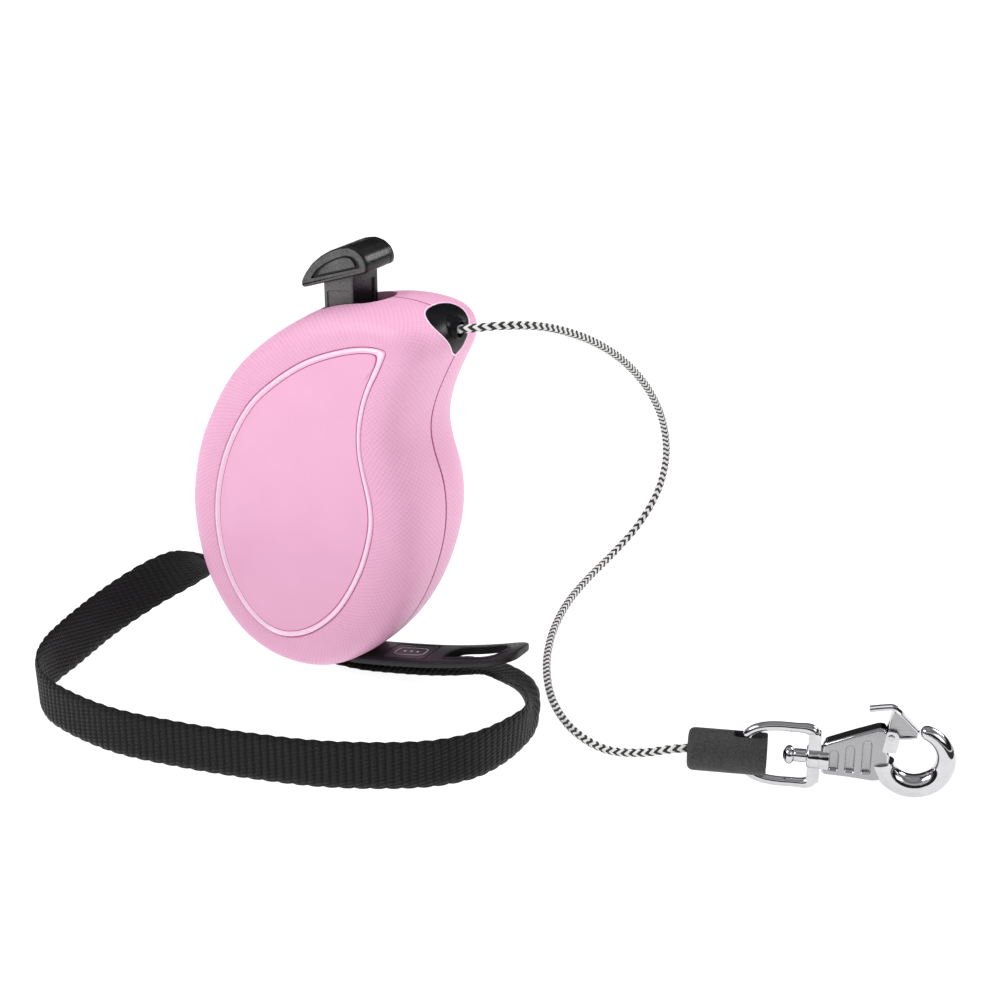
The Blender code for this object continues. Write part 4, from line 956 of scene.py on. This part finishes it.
# ------------------------------------------------------------------ wrist strap
def strap_stations(step):
    rows = np.array([list(c) + list(w) for c, w in STRAP], float)
    rows[:, 3:] /= np.linalg.norm(rows[:, 3:], axis=1)[:, None]
    path = even(open_spline(rows, 12), step)
    c = path[:, :3].copy()
    w = path[:, 3:]
    t = np.gradient(c, axis=0)
    t /= np.linalg.norm(t, axis=1)[:, None]
    w = w - t * (w * t).sum(1)[:, None]
    w /= np.linalg.norm(w, axis=1)[:, None]
    n = np.cross(t, w)
    low = STRAP_W / 2 * abs(w[:, 2]) + STRAP_T / 2 * abs(n[:, 2])
    c[:, 2] = np.maximum(c[:, 2], low + 0.1)
    return c, w, n


RIB = 2.2


def woven_strap():
    step = 0.275
    c, w, n = strap_stations(step)
    count = len(c)
    s = np.r_[0, np.cumsum(np.linalg.norm(np.diff(c, axis=0), axis=1))]
    length = s[-1]
    half = 9
    bm = bmesh.new()
    layer = bm.loops.layers.float_vector.new("surf")
    rows, info = [], []
    for k in range(count):
        phase = s[k] / RIB
        col = int(math.floor(phase))
        swell = math.sin(math.pi * (phase - col)) ** 0.8
        edge = STRAP_W / 2 - 0.42 + 0.34 * abs(math.sin(math.pi * s[k] / (2 * RIB)))
        ring, coords = [], []
        for side in (-1, 1):
            span = np.linspace(-1, 1, half) if side < 0 else np.linspace(1, -1, half)
            for q in span:
                rim_in = 1 - max(0.0, (abs(q) - 0.86) / 0.14) ** 2 * 0.75
                thick = (STRAP_T / 2 - 0.24 + 0.24 * (swell if side < 0 else math.sin(math.pi * ((phase + 0.5) % 1)) ** 0.8)) * rim_in
                ring.append(tuple(c[k] + w[k] * (q * edge) + n[k] * (thick * side)))
                coords.append(q * edge + (40.0 if side > 0 else 0.0))
        rows.append([bm.verts.new(p) for p in ring])
        info.append(coords)
    m = 2 * half
    for k in range(count - 1):
        for i in range(m):
            j = (i + 1) % m
            f = bm.faces.new((rows[k][i], rows[k][j], rows[k + 1][j], rows[k + 1][i]))
            vi, vj = info[k][i], info[k][j]
            if abs(vi - vj) > 20:
                vj = vi
            for loop, (u, v) in zip(f.loops, ((s[k], vi), (s[k], vj), (s[k + 1], vj), (s[k + 1], vi))):
                loop[layer] = (u, v, 0)
    bm.faces.new(rows[0][::-1])
    bm.faces.new(rows[-1])
    return finish_mesh("woven_strap", bm, [M["web"]], 0), length


strap, STRAP_LENGTH = woven_strap()
piece(strap, "housing", "webbing_black", "wrist_strap")

# ------------------------------------------------------------------ strap tab
TAB_LINE = open_spline([(x, z, 0) for x, z in TAB], 8)[:, :2]


def tab_surface(x):
    return float(np.interp(x, TAB_LINE[:, 0], TAB_LINE[:, 1]))


bm = bmesh.new()
rows = []
stations = [(14.6, 6.2), (14.8, 6.6), (15.4, 7.0)] + [(x, TAB_HALF_W) for x in np.arange(17, 66.1, 1.2)]
for k in range(1, 13):
    a = math.pi / 2 * k / 12
    stations.append((66 + 7.5 * math.sin(a), 2.2 + (TAB_HALF_W - 2.2) * math.cos(a) ** 0.75))
for x, h in stations:
    z = tab_surface(x)
    lo, hi = z - TAB_T / 2, z + TAB_T / 2
    rows.append([
        (x, -h + 0.3, lo), (x, h - 0.3, lo), (x, h - 0.1, lo + 0.1), (x, h, lo + 0.3), (x, h, hi - 0.75), (x, h - 0.12, hi - 0.4), (x, h - 0.5, hi - 0.1), (x, h - 0.9, hi),
        (x, -h + 0.9, hi), (x, -h + 0.5, hi - 0.1), (x, -h + 0.12, hi - 0.4), (x, -h, hi - 0.75), (x, -h, lo + 0.3), (x, -h + 0.1, lo + 0.1),
    ])
skin(bm, rows)
tab = finish_mesh("tab_body", bm, [M["tab"]])
slot_pts = closed_spline([(47.6, -3.4), (54.5, -3.95), (62.0, -4.4), (65.6, -3.2), (67.0, -0.4), (66.6, 2.6), (64.4, 3.8), (57.5, 3.6), (51.0, 3.4), (48.4, 1.4), (47.2, -1.6)], 5)
mid = np.mean(slot_pts, axis=0)
cut = bmesh.new()
skin(cut, [[(x, y, z) for x, y in slot_pts] for z in (4.0, 26.0)])
boolean(tab, tool(cut), "DIFFERENCE")


def patch(x0, x1, half, low, high, radius=0.0):
    rows = []
    bm = bmesh.new()
    for k in range(33):
        x = x0 + (x1 - x0) * k / 32
        z = tab_surface(x)
        d = min(x - x0, x1 - x)
        h = half - (radius - math.sqrt(max(0.0, radius**2 - (radius - d) ** 2)) if d < radius else 0.0)
        rows.append([(x, -h, z + low), (x, h, z + low), (x, h, z + high), (x, -h, z + high)])
    skin(bm, rows)
    return bm


boolean(tab, tool(patch(25.5, 41.5, 5.2, TAB_T / 2 - 0.7, TAB_T / 2 + 1, 1.0)), "DIFFERENCE")
apply_all(tab, 30)
piece(tab, "housing", "black_plastic", "strap_tab")
# rounded rim round the slot's upper edge
rim = [(x, y, tab_surface(x) + TAB_T / 2 - 0.02) for x, y in mid + (slot_pts - mid) * 1.06]
bm = sweep(rim, 0.34, 12, True)
piece(finish_mesh("tab_slot_rim", bm, [M["tab"]]), "housing", "black_plastic")
# a plain badge: a smooth patch with a thin pale border line
badge = finish_mesh("badge_plate", patch(25.85, 41.15, 4.85, TAB_T / 2 - 0.4, TAB_T / 2 + 0.02, 0.9), [M["badge"]])
piece(badge, "housing", "badge_grey", "tab_badge")
line = []
for k in range(96):
    a = 2 * math.pi * k / 96
    ex, ey = 5.4, 2.5
    cx, cy = abs(math.cos(a)) ** 0.5 * math.copysign(ex, math.cos(a)), abs(math.sin(a)) ** 0.5 * math.copysign(ey, math.sin(a))
    line.append((33.6 + cx, cy, tab_surface(33.6 + cx) + TAB_T / 2 + 0.02))
bm = sweep(line, 0.11, 6, True)
for x in (31.2, 33.6, 36.0):
    z = tab_surface(x) + TAB_T / 2
    stack_between((x, 0, z), (x, 0, z + 1), [(0, 0.42), (0.1, 0.42), (0.16, 0.3)], 16, (True, True), bm)
piece(finish_mesh("badge_line", bm, [M["print"]]), "housing", "badge_grey")

# ------------------------------------------------------------------ braided cord
CORD_LINE = open_spline(CORD, 14)


def braided(name, points, strands=6, pitch=1.35, sub=4):
    """A round braid: 2 x strands yarns crossing each other, every crossing its own raised cell."""
    p = even(points, 0.2)
    s = np.r_[0, np.cumsum(np.linalg.norm(np.diff(p, axis=0), axis=1))]
    t = np.gradient(p, axis=0)
    t /= np.linalg.norm(t, axis=1)[:, None]
    e = np.zeros_like(t)
    first = np.cross(t[0], (0, 0, 1.0))
    e[0] = first / np.linalg.norm(first)
    for i in range(1, len(t)):
        q = e[i - 1] - t[i] * (e[i - 1] @ t[i])
        e[i] = q / np.linalg.norm(q)
    f = np.cross(t, e)
    total = s[-1]
    cols = [np.stack([np.interp(0, s, s)])]
    whole = int(total / pitch * 2)
    verts, faces, look, coords = [], [], [], []
    index = {}

    def at(ai, bi, h):
        """Vertex at lattice point (ai/sub, bi/sub), shared between cells."""
        key = (((ai + bi) % (2 * strands * sub)), ai - bi)
        if key in index:
            return index[key]
        u = (ai + bi) / (2.0 * strands * sub)
        v = min(max(pitch * (ai - bi) / (2.0 * sub), 0.0), total)
        c = np.array([np.interp(v, s, p[:, k]) for k in range(3)])
        i = min(len(s) - 1, int(v / total * (len(s) - 1) + 0.5))
        ang = 2 * math.pi * u
        r = CORD_R + h
        index[key] = len(verts)
        verts.append(c + r * (math.cos(ang) * e[i] + math.sin(ang) * f[i]))
        return index[key]

    for diff in range(0, whole):
        for sm in range(2 * strands):
            if (sm + diff) % 2:
                continue
            i, j = (sm + diff) // 2, (sm - diff) // 2
            over_a = (i + j) % 2 == 0
            dark = (diff + (0, 1, 2, 1)[sm % 4]) % 4 == 0
            grid = []
            for x in range(sub + 1):
                row = []
                for y in range(sub + 1):
                    fx, fy = x / sub, y / sub
                    across, along = (fx, fy) if over_a else (fy, fx)
                    h = -0.17 + 0.25 * (math.sin(math.pi * across) ** 0.7) * (0.35 + 0.65 * math.sin(math.pi * along))
                    row.append(at(i * sub + x, j * sub + y, h))
                grid.append(row)
            for x in range(sub):
                for y in range(sub):
                    quad = (grid[x][y], grid[x + 1][y], grid[x + 1][y + 1], grid[x][y + 1])
                    faces.append(quad)
                    look.append(1 if dark else 0)
                    k = (1.0 / sub) * 0.95
                    for dx, dy in ((0, 0), (1, 0), (1, 1), (0, 1)):
                        fx, fy = (x + dx) * k, (y + dy) * k
                        coords.append((fx, fy, 0) if over_a else (fy, fx, 0))
    mesh = bpy.data.meshes.new(name)
    mesh.from_pydata([P(*v) for v in verts], [], faces)
    mesh.materials.append(M["white_yarn"])
    mesh.materials.append(M["black_yarn"])
    mesh.polygons.foreach_set("material_index", np.array(look, np.int32))
    layer = mesh.attributes.new("surf", "FLOAT_VECTOR", "CORNER")
    layer.data.foreach_set("vector", np.array(coords, np.float32).ravel())
    mesh.update()
    mesh.validate(verbose=False)
    obj = bpy.data.objects.new(name, mesh)
    SCENE.collection.objects.link(obj)
    bm = bmesh.new()
    bm.from_mesh(mesh)
    bmesh.ops.recalc_face_normals(bm, faces=bm.faces[:])
    bm.to_mesh(mesh)
    bm.free()
    smooth(obj, 0)
    return obj, total


cord, CORD_LENGTH = braided("braided_cord", CORD_LINE)
piece(cord, "housing", "cord_braid", "cord")


# ------------------------------------------------------------------ end sleeve, swivel and hook
def H(u, v, z):
    """u runs along the chain, v across it away from the camera side, z is the height."""
    return (HOOK_START[0] + HOOK_DIR.x * u - HOOK_DIR.y * v, HOOK_START[1] + HOOK_DIR.y * u + HOOK_DIR.x * v, z)


HZ = HOOK_START[2]
EYE_MID = (EYE_Z[0] + EYE_Z[1]) / 2


def hook_lathe(stations, z=HZ, steps=64, caps=(True, True), bm=None, look=0):
    return stack_between(H(stations[0][0], 0, z), H(stations[0][0] + 1, 0, z), [(s - stations[0][0], r) for s, r in stations], steps, caps, bm, look)


sleeve = finish_mesh("rubber_sleeve", hook_lathe([(-0.6, 1.5), (-0.6, 4.6), (-0.45, 5.1), (-0.15, 5.5), (0.3, 5.82), (0.9, 5.97), (1.6, SLEEVE_R), (10, 6.0), (SLEEVE_L - 0.6, SLEEVE_R), (SLEEVE_L - 0.25, SLEEVE_R - 0.1), (SLEEVE_L, SLEEVE_R - 0.4)], steps=96), [M["rubber"]])
boolean(sleeve, tool(hook_lathe([(-3, 1.8), (-0.5, 1.6), (0.2, CORD_R + 0.22), (11.5, CORD_R + 0.22)])), "DIFFERENCE")
boolean(sleeve, tool(hook_lathe([(10.5, 4.5), (21.0, 4.5), (21.4, 4.7), (24, 4.9)], steps=96)), "DIFFERENCE")
slit = bmesh.new()
pts = rounded([(11.9, -1.75), (26, -1.75), (26, 1.75), (11.9, 1.75)], 1.2, 6)
skin(slit, [[H(u, v, z) for u, v in pts] for z in (-2, 22)])
boolean(sleeve, tool(slit), "DIFFERENCE")
apply_all(sleeve, 32)
piece(sleeve, "housing", "rubber_black", "cord_end_sleeve")


def eye_path():
    zl, zh = EYE_Z
    mid = (zl + zh) / 2
    half = [
        (EYE_BAR_U, mid), (EYE_BAR_U, zl + 4.6), (EYE_BAR_U + 0.5, zl + 3.0), (EYE_BAR_U + 2.2, zl + 1.5), (EYE_BAR_U + 4.8, zl + 0.5), (EYE_BAR_U + 8.5, zl),
        (EYE_BAR_U + 13, zl), (EYE_RIGHT_U - 2.0, zl + 0.1), (EYE_RIGHT_U - 0.6, zl + 0.8), (EYE_RIGHT_U, zl + 2.6), (EYE_RIGHT_U, mid),
    ]
    up = [(u, zl + zh - z) for u, z in half[-2:0:-1]]
    return closed_spline(half + up, 7)


path = eye_path()
sizes = []
for u, z in path:
    f = max(0.0, min(1.0, (u - (EYE_RIGHT_U - 4.5)) / 4.0))
    sizes.append(EYE_WIRE_R * (1 + 0.22 * f * f * (3 - 2 * f)))
eye = finish_mesh("d_ring", sweep([H(u, 0, z) for u, z in path], sizes, 28, True), [M["chrome"]], 40)
boss = [(32.0, 2.6), (32.25, 3.05), (32.7, 3.3), (35.4, 3.3), (35.9, 3.05), (36.1, 2.6)]
boolean(eye, tool(hook_lathe(boss, EYE_MID, 48)), "UNION")
block = bmesh.new()
pts = rounded([(32.5, 2.1), (35.9, 2.6), (36.0, 17.4), (32.5, 17.9)], 0.7, 4)
skin(block, [[H(u, v, z) for u, z in pts] for v in (-1.75, 1.75)])
boolean(eye, tool(block), "UNION")
boolean(eye, tool(hook_lathe([(28, STUD_R + 0.25), (40, STUD_R + 0.25)], EYE_MID, 48)), "DIFFERENCE")
bevel(eye, 0.28, 3, 38)
apply_all(eye, 32)
piece(eye, "eye", "chrome", "swivel_eye")

stud = [(25.6, 0.3), (25.65, 0.9), (25.9, 1.55), (26.35, 2.2), (26.95, 2.6), (27.55, 2.68), (28.1, 2.5), (28.5, 2.05), (28.75, 1.75), (29.0, 1.9), (31.6, 1.9), (31.8, STUD_R), (36.6, STUD_R), (38.0, STUD_R)]
piece(finish_mesh("stud", hook_lathe(stud, EYE_MID, 48), [M["chrome"]], 40), "hook", "chrome", "swivel_stud")

# the casting: a wedge with pressed ribs and a tapering ring
WEDGE = [(36.4, 6.2), (37.2, 5.6), (44, 5.3), (50.6, 4.7), (53.2, 5.4), (54.6, 8.0), (54.6, 13.0), (53.4, 15.6), (53.4, 20.2), (52.8, 21.2), (51.2, 21.3), (44.5, 18.6), (37.2, 15.4), (36.4, 14.4)]
hook = finish_mesh("hook_casting", prism(rounded(WEDGE, 0.8, 4), -HOOK_T / 2, HOOK_T / 2, lambda a, b, d: H(a, d, b)), [M["chrome"], M["satin"]])
bevel(hook, 0.75, 4, 50)


def ring_arc(start, end, count, size, steps=32):
    bm = bmesh.new()
    rows = []
    for i in range(count + 1):
        f = i / count
        a = math.radians(start + (end - start) * f)
        r = size(f)
        row = []
        for k in range(steps):
            b = 2 * math.pi * k / steps
            rad = RING_R + r * math.cos(b)
            row.append(H(RING[0] + rad * math.cos(a), r * math.sin(b), RING[1] + rad * math.sin(a)))
        rows.append(row)
    # a rounded tip
    a = math.radians(end)
    for d, q in ((0.35, 0.92), (0.7, 0.74), (0.95, 0.45), (1.05, 0.15)):
        r = size(1.0)
        aa = a + d * r / RING_R * 0.8
        rows.append([H(RING[0] + (RING_R + r * q * math.cos(2 * math.pi * k / steps)) * math.cos(aa), r * q * math.sin(2 * math.pi * k / steps), RING[1] + (RING_R + r * q * math.cos(2 * math.pi * k / steps)) * math.sin(aa)) for k in range(steps)])
    skin(bm, rows)
    return bm


arc = ring_arc(-168, 71, 72, lambda f: 3.3 - 1.25 * max(0.0, (f - 0.45) / 0.55) ** 1.1)
boolean(hook, tool(arc), "UNION")
boolean(hook, tool(hook_lathe([(35.2, 2.4), (35.6, 3.3), (37.6, 3.7), (40.5, 2.8)], EYE_MID, 48)), "UNION")
for side in (-1, 1):
    for u in (39.6, 43.9, 48.4):
        top = 12.4 + 0.42 * (u - 39)
        rib = rounded([(u - 1.25, 7.3), (u + 1.25, 7.3), (u + 1.3, top), (u + 0.6, top + 1.0), (u - 0.6, top + 1.0), (u - 1.3, top)], 0.5, 4)
        mid = rib.mean(0)
        cut = bmesh.new()
        skin(cut, [[H(a, side * d, b) for a, b in mid + (rib - mid) * f] for d, f in ((HOOK_T / 2 - 0.75, 0.8), (HOOK_T / 2 - 0.45, 0.97), (HOOK_T / 2 + 0.02, 1.06), (4, 1.06))])
        boolean(hook, tool(cut), "DIFFERENCE")
lug = [(52.4, 14.2), (56.2, 14.2), (57.0, 18.8), (56.0, 20.6), (53.4, 20.8)]
boolean(hook, tool(prism(rounded(lug, 0.7, 4), -HOOK_T / 2 - 0.1, HOOK_T / 2 + 0.1, lambda a, b, d: H(a, d, b))), "UNION")
boolean(hook, tool(prism([(50.9, 14.9), (58.5, 14.9), (58.5, 24), (52.1, 24)], -1.65, 1.65, lambda a, b, d: H(a, d, b))), "DIFFERENCE")
gu, gz = GATE_PIVOT
boolean(hook, tool(stack_between(H(gu, -6, gz), H(gu, 6, gz), [(0, 0.85), (12, 0.85)], 32)), "DIFFERENCE")
apply_all(hook, 30)
# the flat cast faces of the wedge are matt, everything else is polished
mesh = hook.data
vdir = Vector((-HOOK_DIR.y, HOOK_DIR.x, 0))
start = P(*HOOK_START)
for poly in mesh.polygons:
    q = poly.center - start
    u = (q.x * HOOK_DIR.x + q.y * HOOK_DIR.y) / MM
    v = (q.x * vdir.x + q.y * vdir.y) / MM
    if 36.5 < u < 53.0 and abs(poly.normal.dot(vdir)) > 0.9 and 1.5 < abs(v) < HOOK_T / 2 + 0.05:
        poly.material_index = 1
piece(hook, "hook", "chrome", "hook_body")
piece(finish_mesh("gate_pivot", stack_between(H(gu, -2.75, gz), H(gu, 2.75, gz), [(0, 0.3), (0.0, 0.75), (0.12, 0.95), (0.35, 1.0), (0.4, 0.8), (5.1, 0.8), (5.15, 1.0), (5.38, 0.95), (5.5, 0.75), (5.5, 0.3)], 32), [M["steel"]]), "hook", "steel", "gate_pin")

# gate: a plate folded from sheet, with two thumb prongs and a rolled bar at the pin
bm = bmesh.new()
HALF_GATE = 1.35


def bar(path2, thick, half_v, centre_v=0.0, round_r=0.22):
    """A folded strip: path2 are (u, z) points of its middle line."""
    p = even(open_spline([(a, b, 0) for a, b in path2], 4), 0.25)[:, :2]
    t = np.gradient(p, axis=0)
    t /= np.linalg.norm(t, axis=1)[:, None]
    nrm = np.stack([-t[:, 1], t[:, 0]], 1)
    h = thick / 2
    rows = []
    for q, m in zip(p, nrm):
        ring = []
        for v, d in ((-half_v, -h + round_r), (-half_v + round_r, -h), (half_v - round_r, -h), (half_v, -h + round_r), (half_v, h - round_r), (half_v - round_r, h), (-half_v + round_r, h), (-half_v, h - round_r)):
            x, z = q + m * d
            ring.append(H(x, centre_v + v, z))
        rows.append(ring)
    skin(bm, rows)


bar([(61.8, 20.4), (60.2, 22.0), (58.4, 23.8), (56.6, 25.5), (54.8, 26.9)], 0.75, HALF_GATE)
for v in (-0.93, 0.93):
    bar([(55.6, 26.6), (54.4, 27.1), (52.4, 26.9), (50.2, 26.5), (48.3, 26.1)], 0.8, 0.4, v, 0.18)
bar([(54.9, 26.6), (54.2, 24.4), (53.9, 22.4), (54.0, 20.6), (54.4, 18.9)], 0.7, HALF_GATE)
bar([(54.4, 18.2), (57.0, 18.2), (59.6, 18.5), (61.6, 19.0)], 0.9, HALF_GATE)
bar([(55.0, 20.6), (57.5, 20.8), (60.0, 20.8), (61.7, 20.6)], 0.55, HALF_GATE * 0.98)
plate = [(54.0, 19.4), (61.6, 19.4), (61.6, 20.7), (56.2, 26.0), (54.6, 26.2)]
for v in (-HALF_GATE + 0.1, HALF_GATE - 0.55):
    q = rounded(plate, 0.5, 4)
    skin(bm, [[H(a, v + d, b) for a, b in q] for d in (0.0, 0.45)], look=1)
stack_between(H(gu, -HALF_GATE, gz), H(gu, HALF_GATE, gz), [(0, 1.25), (0.12, 1.4), (2.58, 1.4), (2.7, 1.25)], 32, (True, True), bm)
piece(finish_mesh("gate_plate", bm, [M["chrome"], M["satin"]], 32), "gate", "chrome", "hook_gate")

# ------------------------------------------------------------------ CAD nodes that stay, with their own materials
STAY = {
    "shell_screw_1": "steel", "shell_screw_2": "steel", "shell_screw_3": "steel", "shell_screw_4": "steel",
    "pawl_pin": "steel", "reel_axle": "steel", "strap_rear_pin": "steel", "strap_front_pin": "steel",
    "brake_pawl": "black", "reel_drum": "reel", "spring_cover": "reel", "power_spring": "spring",
}
for name, look in STAY.items():
    obj = NODES[name]
    obj.data.materials.clear()
    obj.data.materials.append(M[look])
    obj.data.shade_smooth()
    obj.data.set_sharp_from_angle(angle=math.radians(40))

# the button's return spring, a fixed coil on the housing
turns, per = 5, 24
line = [(15.0 + 2.2 * math.cos(2 * math.pi * k / per), 4.0 + 2.2 * math.sin(2 * math.pi * k / per), 88.65 + (99.2 - 88.65) * k / (turns * per)) for k in range(turns * per + 1)]
return_spring = finish_mesh("return_spring", sweep(line, 0.35, 10), [M["spring"]])
piece(return_spring, "housing", "spring_steel", "button_spring")
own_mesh(return_spring)

# the cord's hidden run up the handle, as braid, and its windings on the drum
inner_line = open_spline([(31.9, 0, 53.0), (32.0, 0, 60), (33.2, 0, 70), (35.2, 0, 82), (37.6, 0, 94), (39.3, 0, 103), (40.4, 0, 107.6)], 8)
inner, _ = braided("inner_braid", inner_line, sub=2)
piece(inner, "housing", "cord_braid", "cord_inner_run")


def coils():
    """Turns of cord side by side on the drum, as one ribbed coil of tube."""
    pts = []
    turns = 5
    per = 96
    for i in range(turns * per + 1):
        a = 2 * math.pi * i / per
        y = -5.0 + 10.0 * i / (turns * per)
        pts.append((3.0 + 25.6 * math.cos(a), y, 49.0 + 25.6 * math.sin(a)))
    core = bmesh.new()
    sweep(pts, 1.15, 12, False, core, 0)
    profile = [(14.3, -6.0), (24.6, -6.0), (24.6, 6.0), (14.3, 6.0)]
    rows = []
    for r, y in profile + profile[:1]:
        rows.append([(3.0 + r * math.cos(2 * math.pi * k / 96), y, 49.0 + r * math.sin(2 * math.pi * k / 96)) for k in range(96)])
    skin(core, rows, (False, False), 0)
    return finish_mesh("wound_cord", core, [M["white_yarn"]], 35)


piece(coils(), "reel", "cord_braid", "cord_winding")

# ------------------------------------------------------------------ floor, light and world
bm = bmesh.new()
bmesh.ops.create_grid(bm, x_segments=8, y_segments=8, size=60.0)
floor = finish_mesh("floor", bm, [], 0, mm=False, fix=False)
floor.location.z = -0.0004
k = Look("pale_floor", (0.93, 0.93, 0.93), 0.6)
k.set("Specular IOR Level", 0.25)
soft = k.noise(0.02, 3.0, 0.5)
k.base(k.color(k.span(soft, 0.3, 0.7, 0.0, 1.0), (0.25, 0.25, 0.251), (0.27, 0.27, 0.269)))
k.set("Emission Color", (1, 1, 1, 1))
k.set("Emission Strength", 0.93)
floor.data.materials.append(k.mat)


def area(name, where, target, size, power, color=(1, 1, 1), size_y=None):
    data = bpy.data.lights.new(name, "AREA")
    data.energy = power
    data.color = color
    data.shape = "RECTANGLE"
    data.size = size
    data.size_y = size_y or size
    obj = bpy.data.objects.new(name, data)
    obj.location = where
    obj.rotation_euler = (Vector(target) - Vector(where)).to_track_quat("-Z", "Y").to_euler()
    SCENE.collection.objects.link(obj)
    return obj


area("key", (-0.34, -0.46, 0.62), (-0.02, 0.0, 0.06), 0.35, 3.3)
top = area("top", (0.05, 0.25, 1.1), (0.0, 0.0, 0.0), 0.8, 6.0)
top.visible_glossy = False
area("side", (0.95, -0.15, 0.45), (0.0, 0.0, 0.06), 0.4, 0.9)
area("edge", (0.55, 0.75, 0.5), (0.0, 0.0, 0.05), 0.3, 3.0)


def hide_from_all_but_reflections(obj):
    k = Look(obj.name + "_cloth", (0.006, 0.006, 0.006), 0.9)
    k.base(k.color(k.noise(0.2, 2.0), (0.004, 0.004, 0.004), (0.008, 0.008, 0.008)))
    obj.data.materials.append(k.mat)
    obj.visible_camera = False
    obj.visible_diffuse = False
    obj.visible_shadow = False
    obj.visible_transmission = False


def card(name, where, target, width, height):
    """A black studio flag, seen only in reflections."""
    bm = bmesh.new()
    bmesh.ops.create_grid(bm, x_segments=2, y_segments=2, size=0.5)
    for v in bm.verts:
        v.co.x *= width
        v.co.y *= height
    obj = finish_mesh(name, bm, [], 0, mm=False, fix=False)
    obj.location = where
    obj.rotation_euler = (Vector(target) - Vector(where)).to_track_quat("-Z", "Y").to_euler()
    hide_from_all_but_reflections(obj)


card("flag_back", (-0.45, 1.05, 0.62), (0.05, 0.0, 0.05), 1.7, 0.75)
card("flag_front", (0.75, -0.95, 0.52), (0.1, 0.0, 0.03), 0.9, 0.22)
card("flag_right", (0.41, 0.02, 0.004), (0.41, 0.02, -1.0), 0.36, 0.36)
# a low ring of black cloth round the table, for the dark lines in the chrome
bm = bmesh.new()
skin(bm, [[(2.0 * math.cos(2 * math.pi * k / 48), 2.0 * math.sin(2 * math.pi * k / 48), z) for k in range(48)] for z in (0.03, 0.62)], (False, False))
hide_from_all_but_reflections(finish_mesh("flag_ring", bm, [], 0, mm=False, fix=False))

world = bpy.data.worlds.new("studio")
SCENE.world = world
world.use_nodes = True
nt = world.node_tree
back = nt.nodes["Background"]
coord = nt.nodes.new("ShaderNodeTexCoord")
sep = nt.nodes.new("ShaderNodeSeparateXYZ")
nt.links.new(coord.outputs["Generated"], sep.inputs[0])
ramp = nt.nodes.new("ShaderNodeValToRGB")
ramp.color_ramp.elements[0].position = 0.0
ramp.color_ramp.elements[0].color = (1.0, 1.0, 1.0, 1)
ramp.color_ramp.elements[1].position = 1.0
ramp.color_ramp.elements[1].color = (0.4, 0.4, 0.404, 1)
for pos, c in ((0.22, 1.0), (0.28, 0.05), (0.33, 0.05), (0.44, 0.6), (0.62, 0.6), (0.78, 0.2)):
    el = ramp.color_ramp.elements.new(pos)
    el.color = (c, c, c * 1.01, 1)
nt.links.new(sep.outputs[2], ramp.inputs[0])
nt.links.new(ramp.outputs[0], back.inputs[0])
back.inputs[1].default_value = 1.0

SCENE.view_settings.view_transform = "Standard"
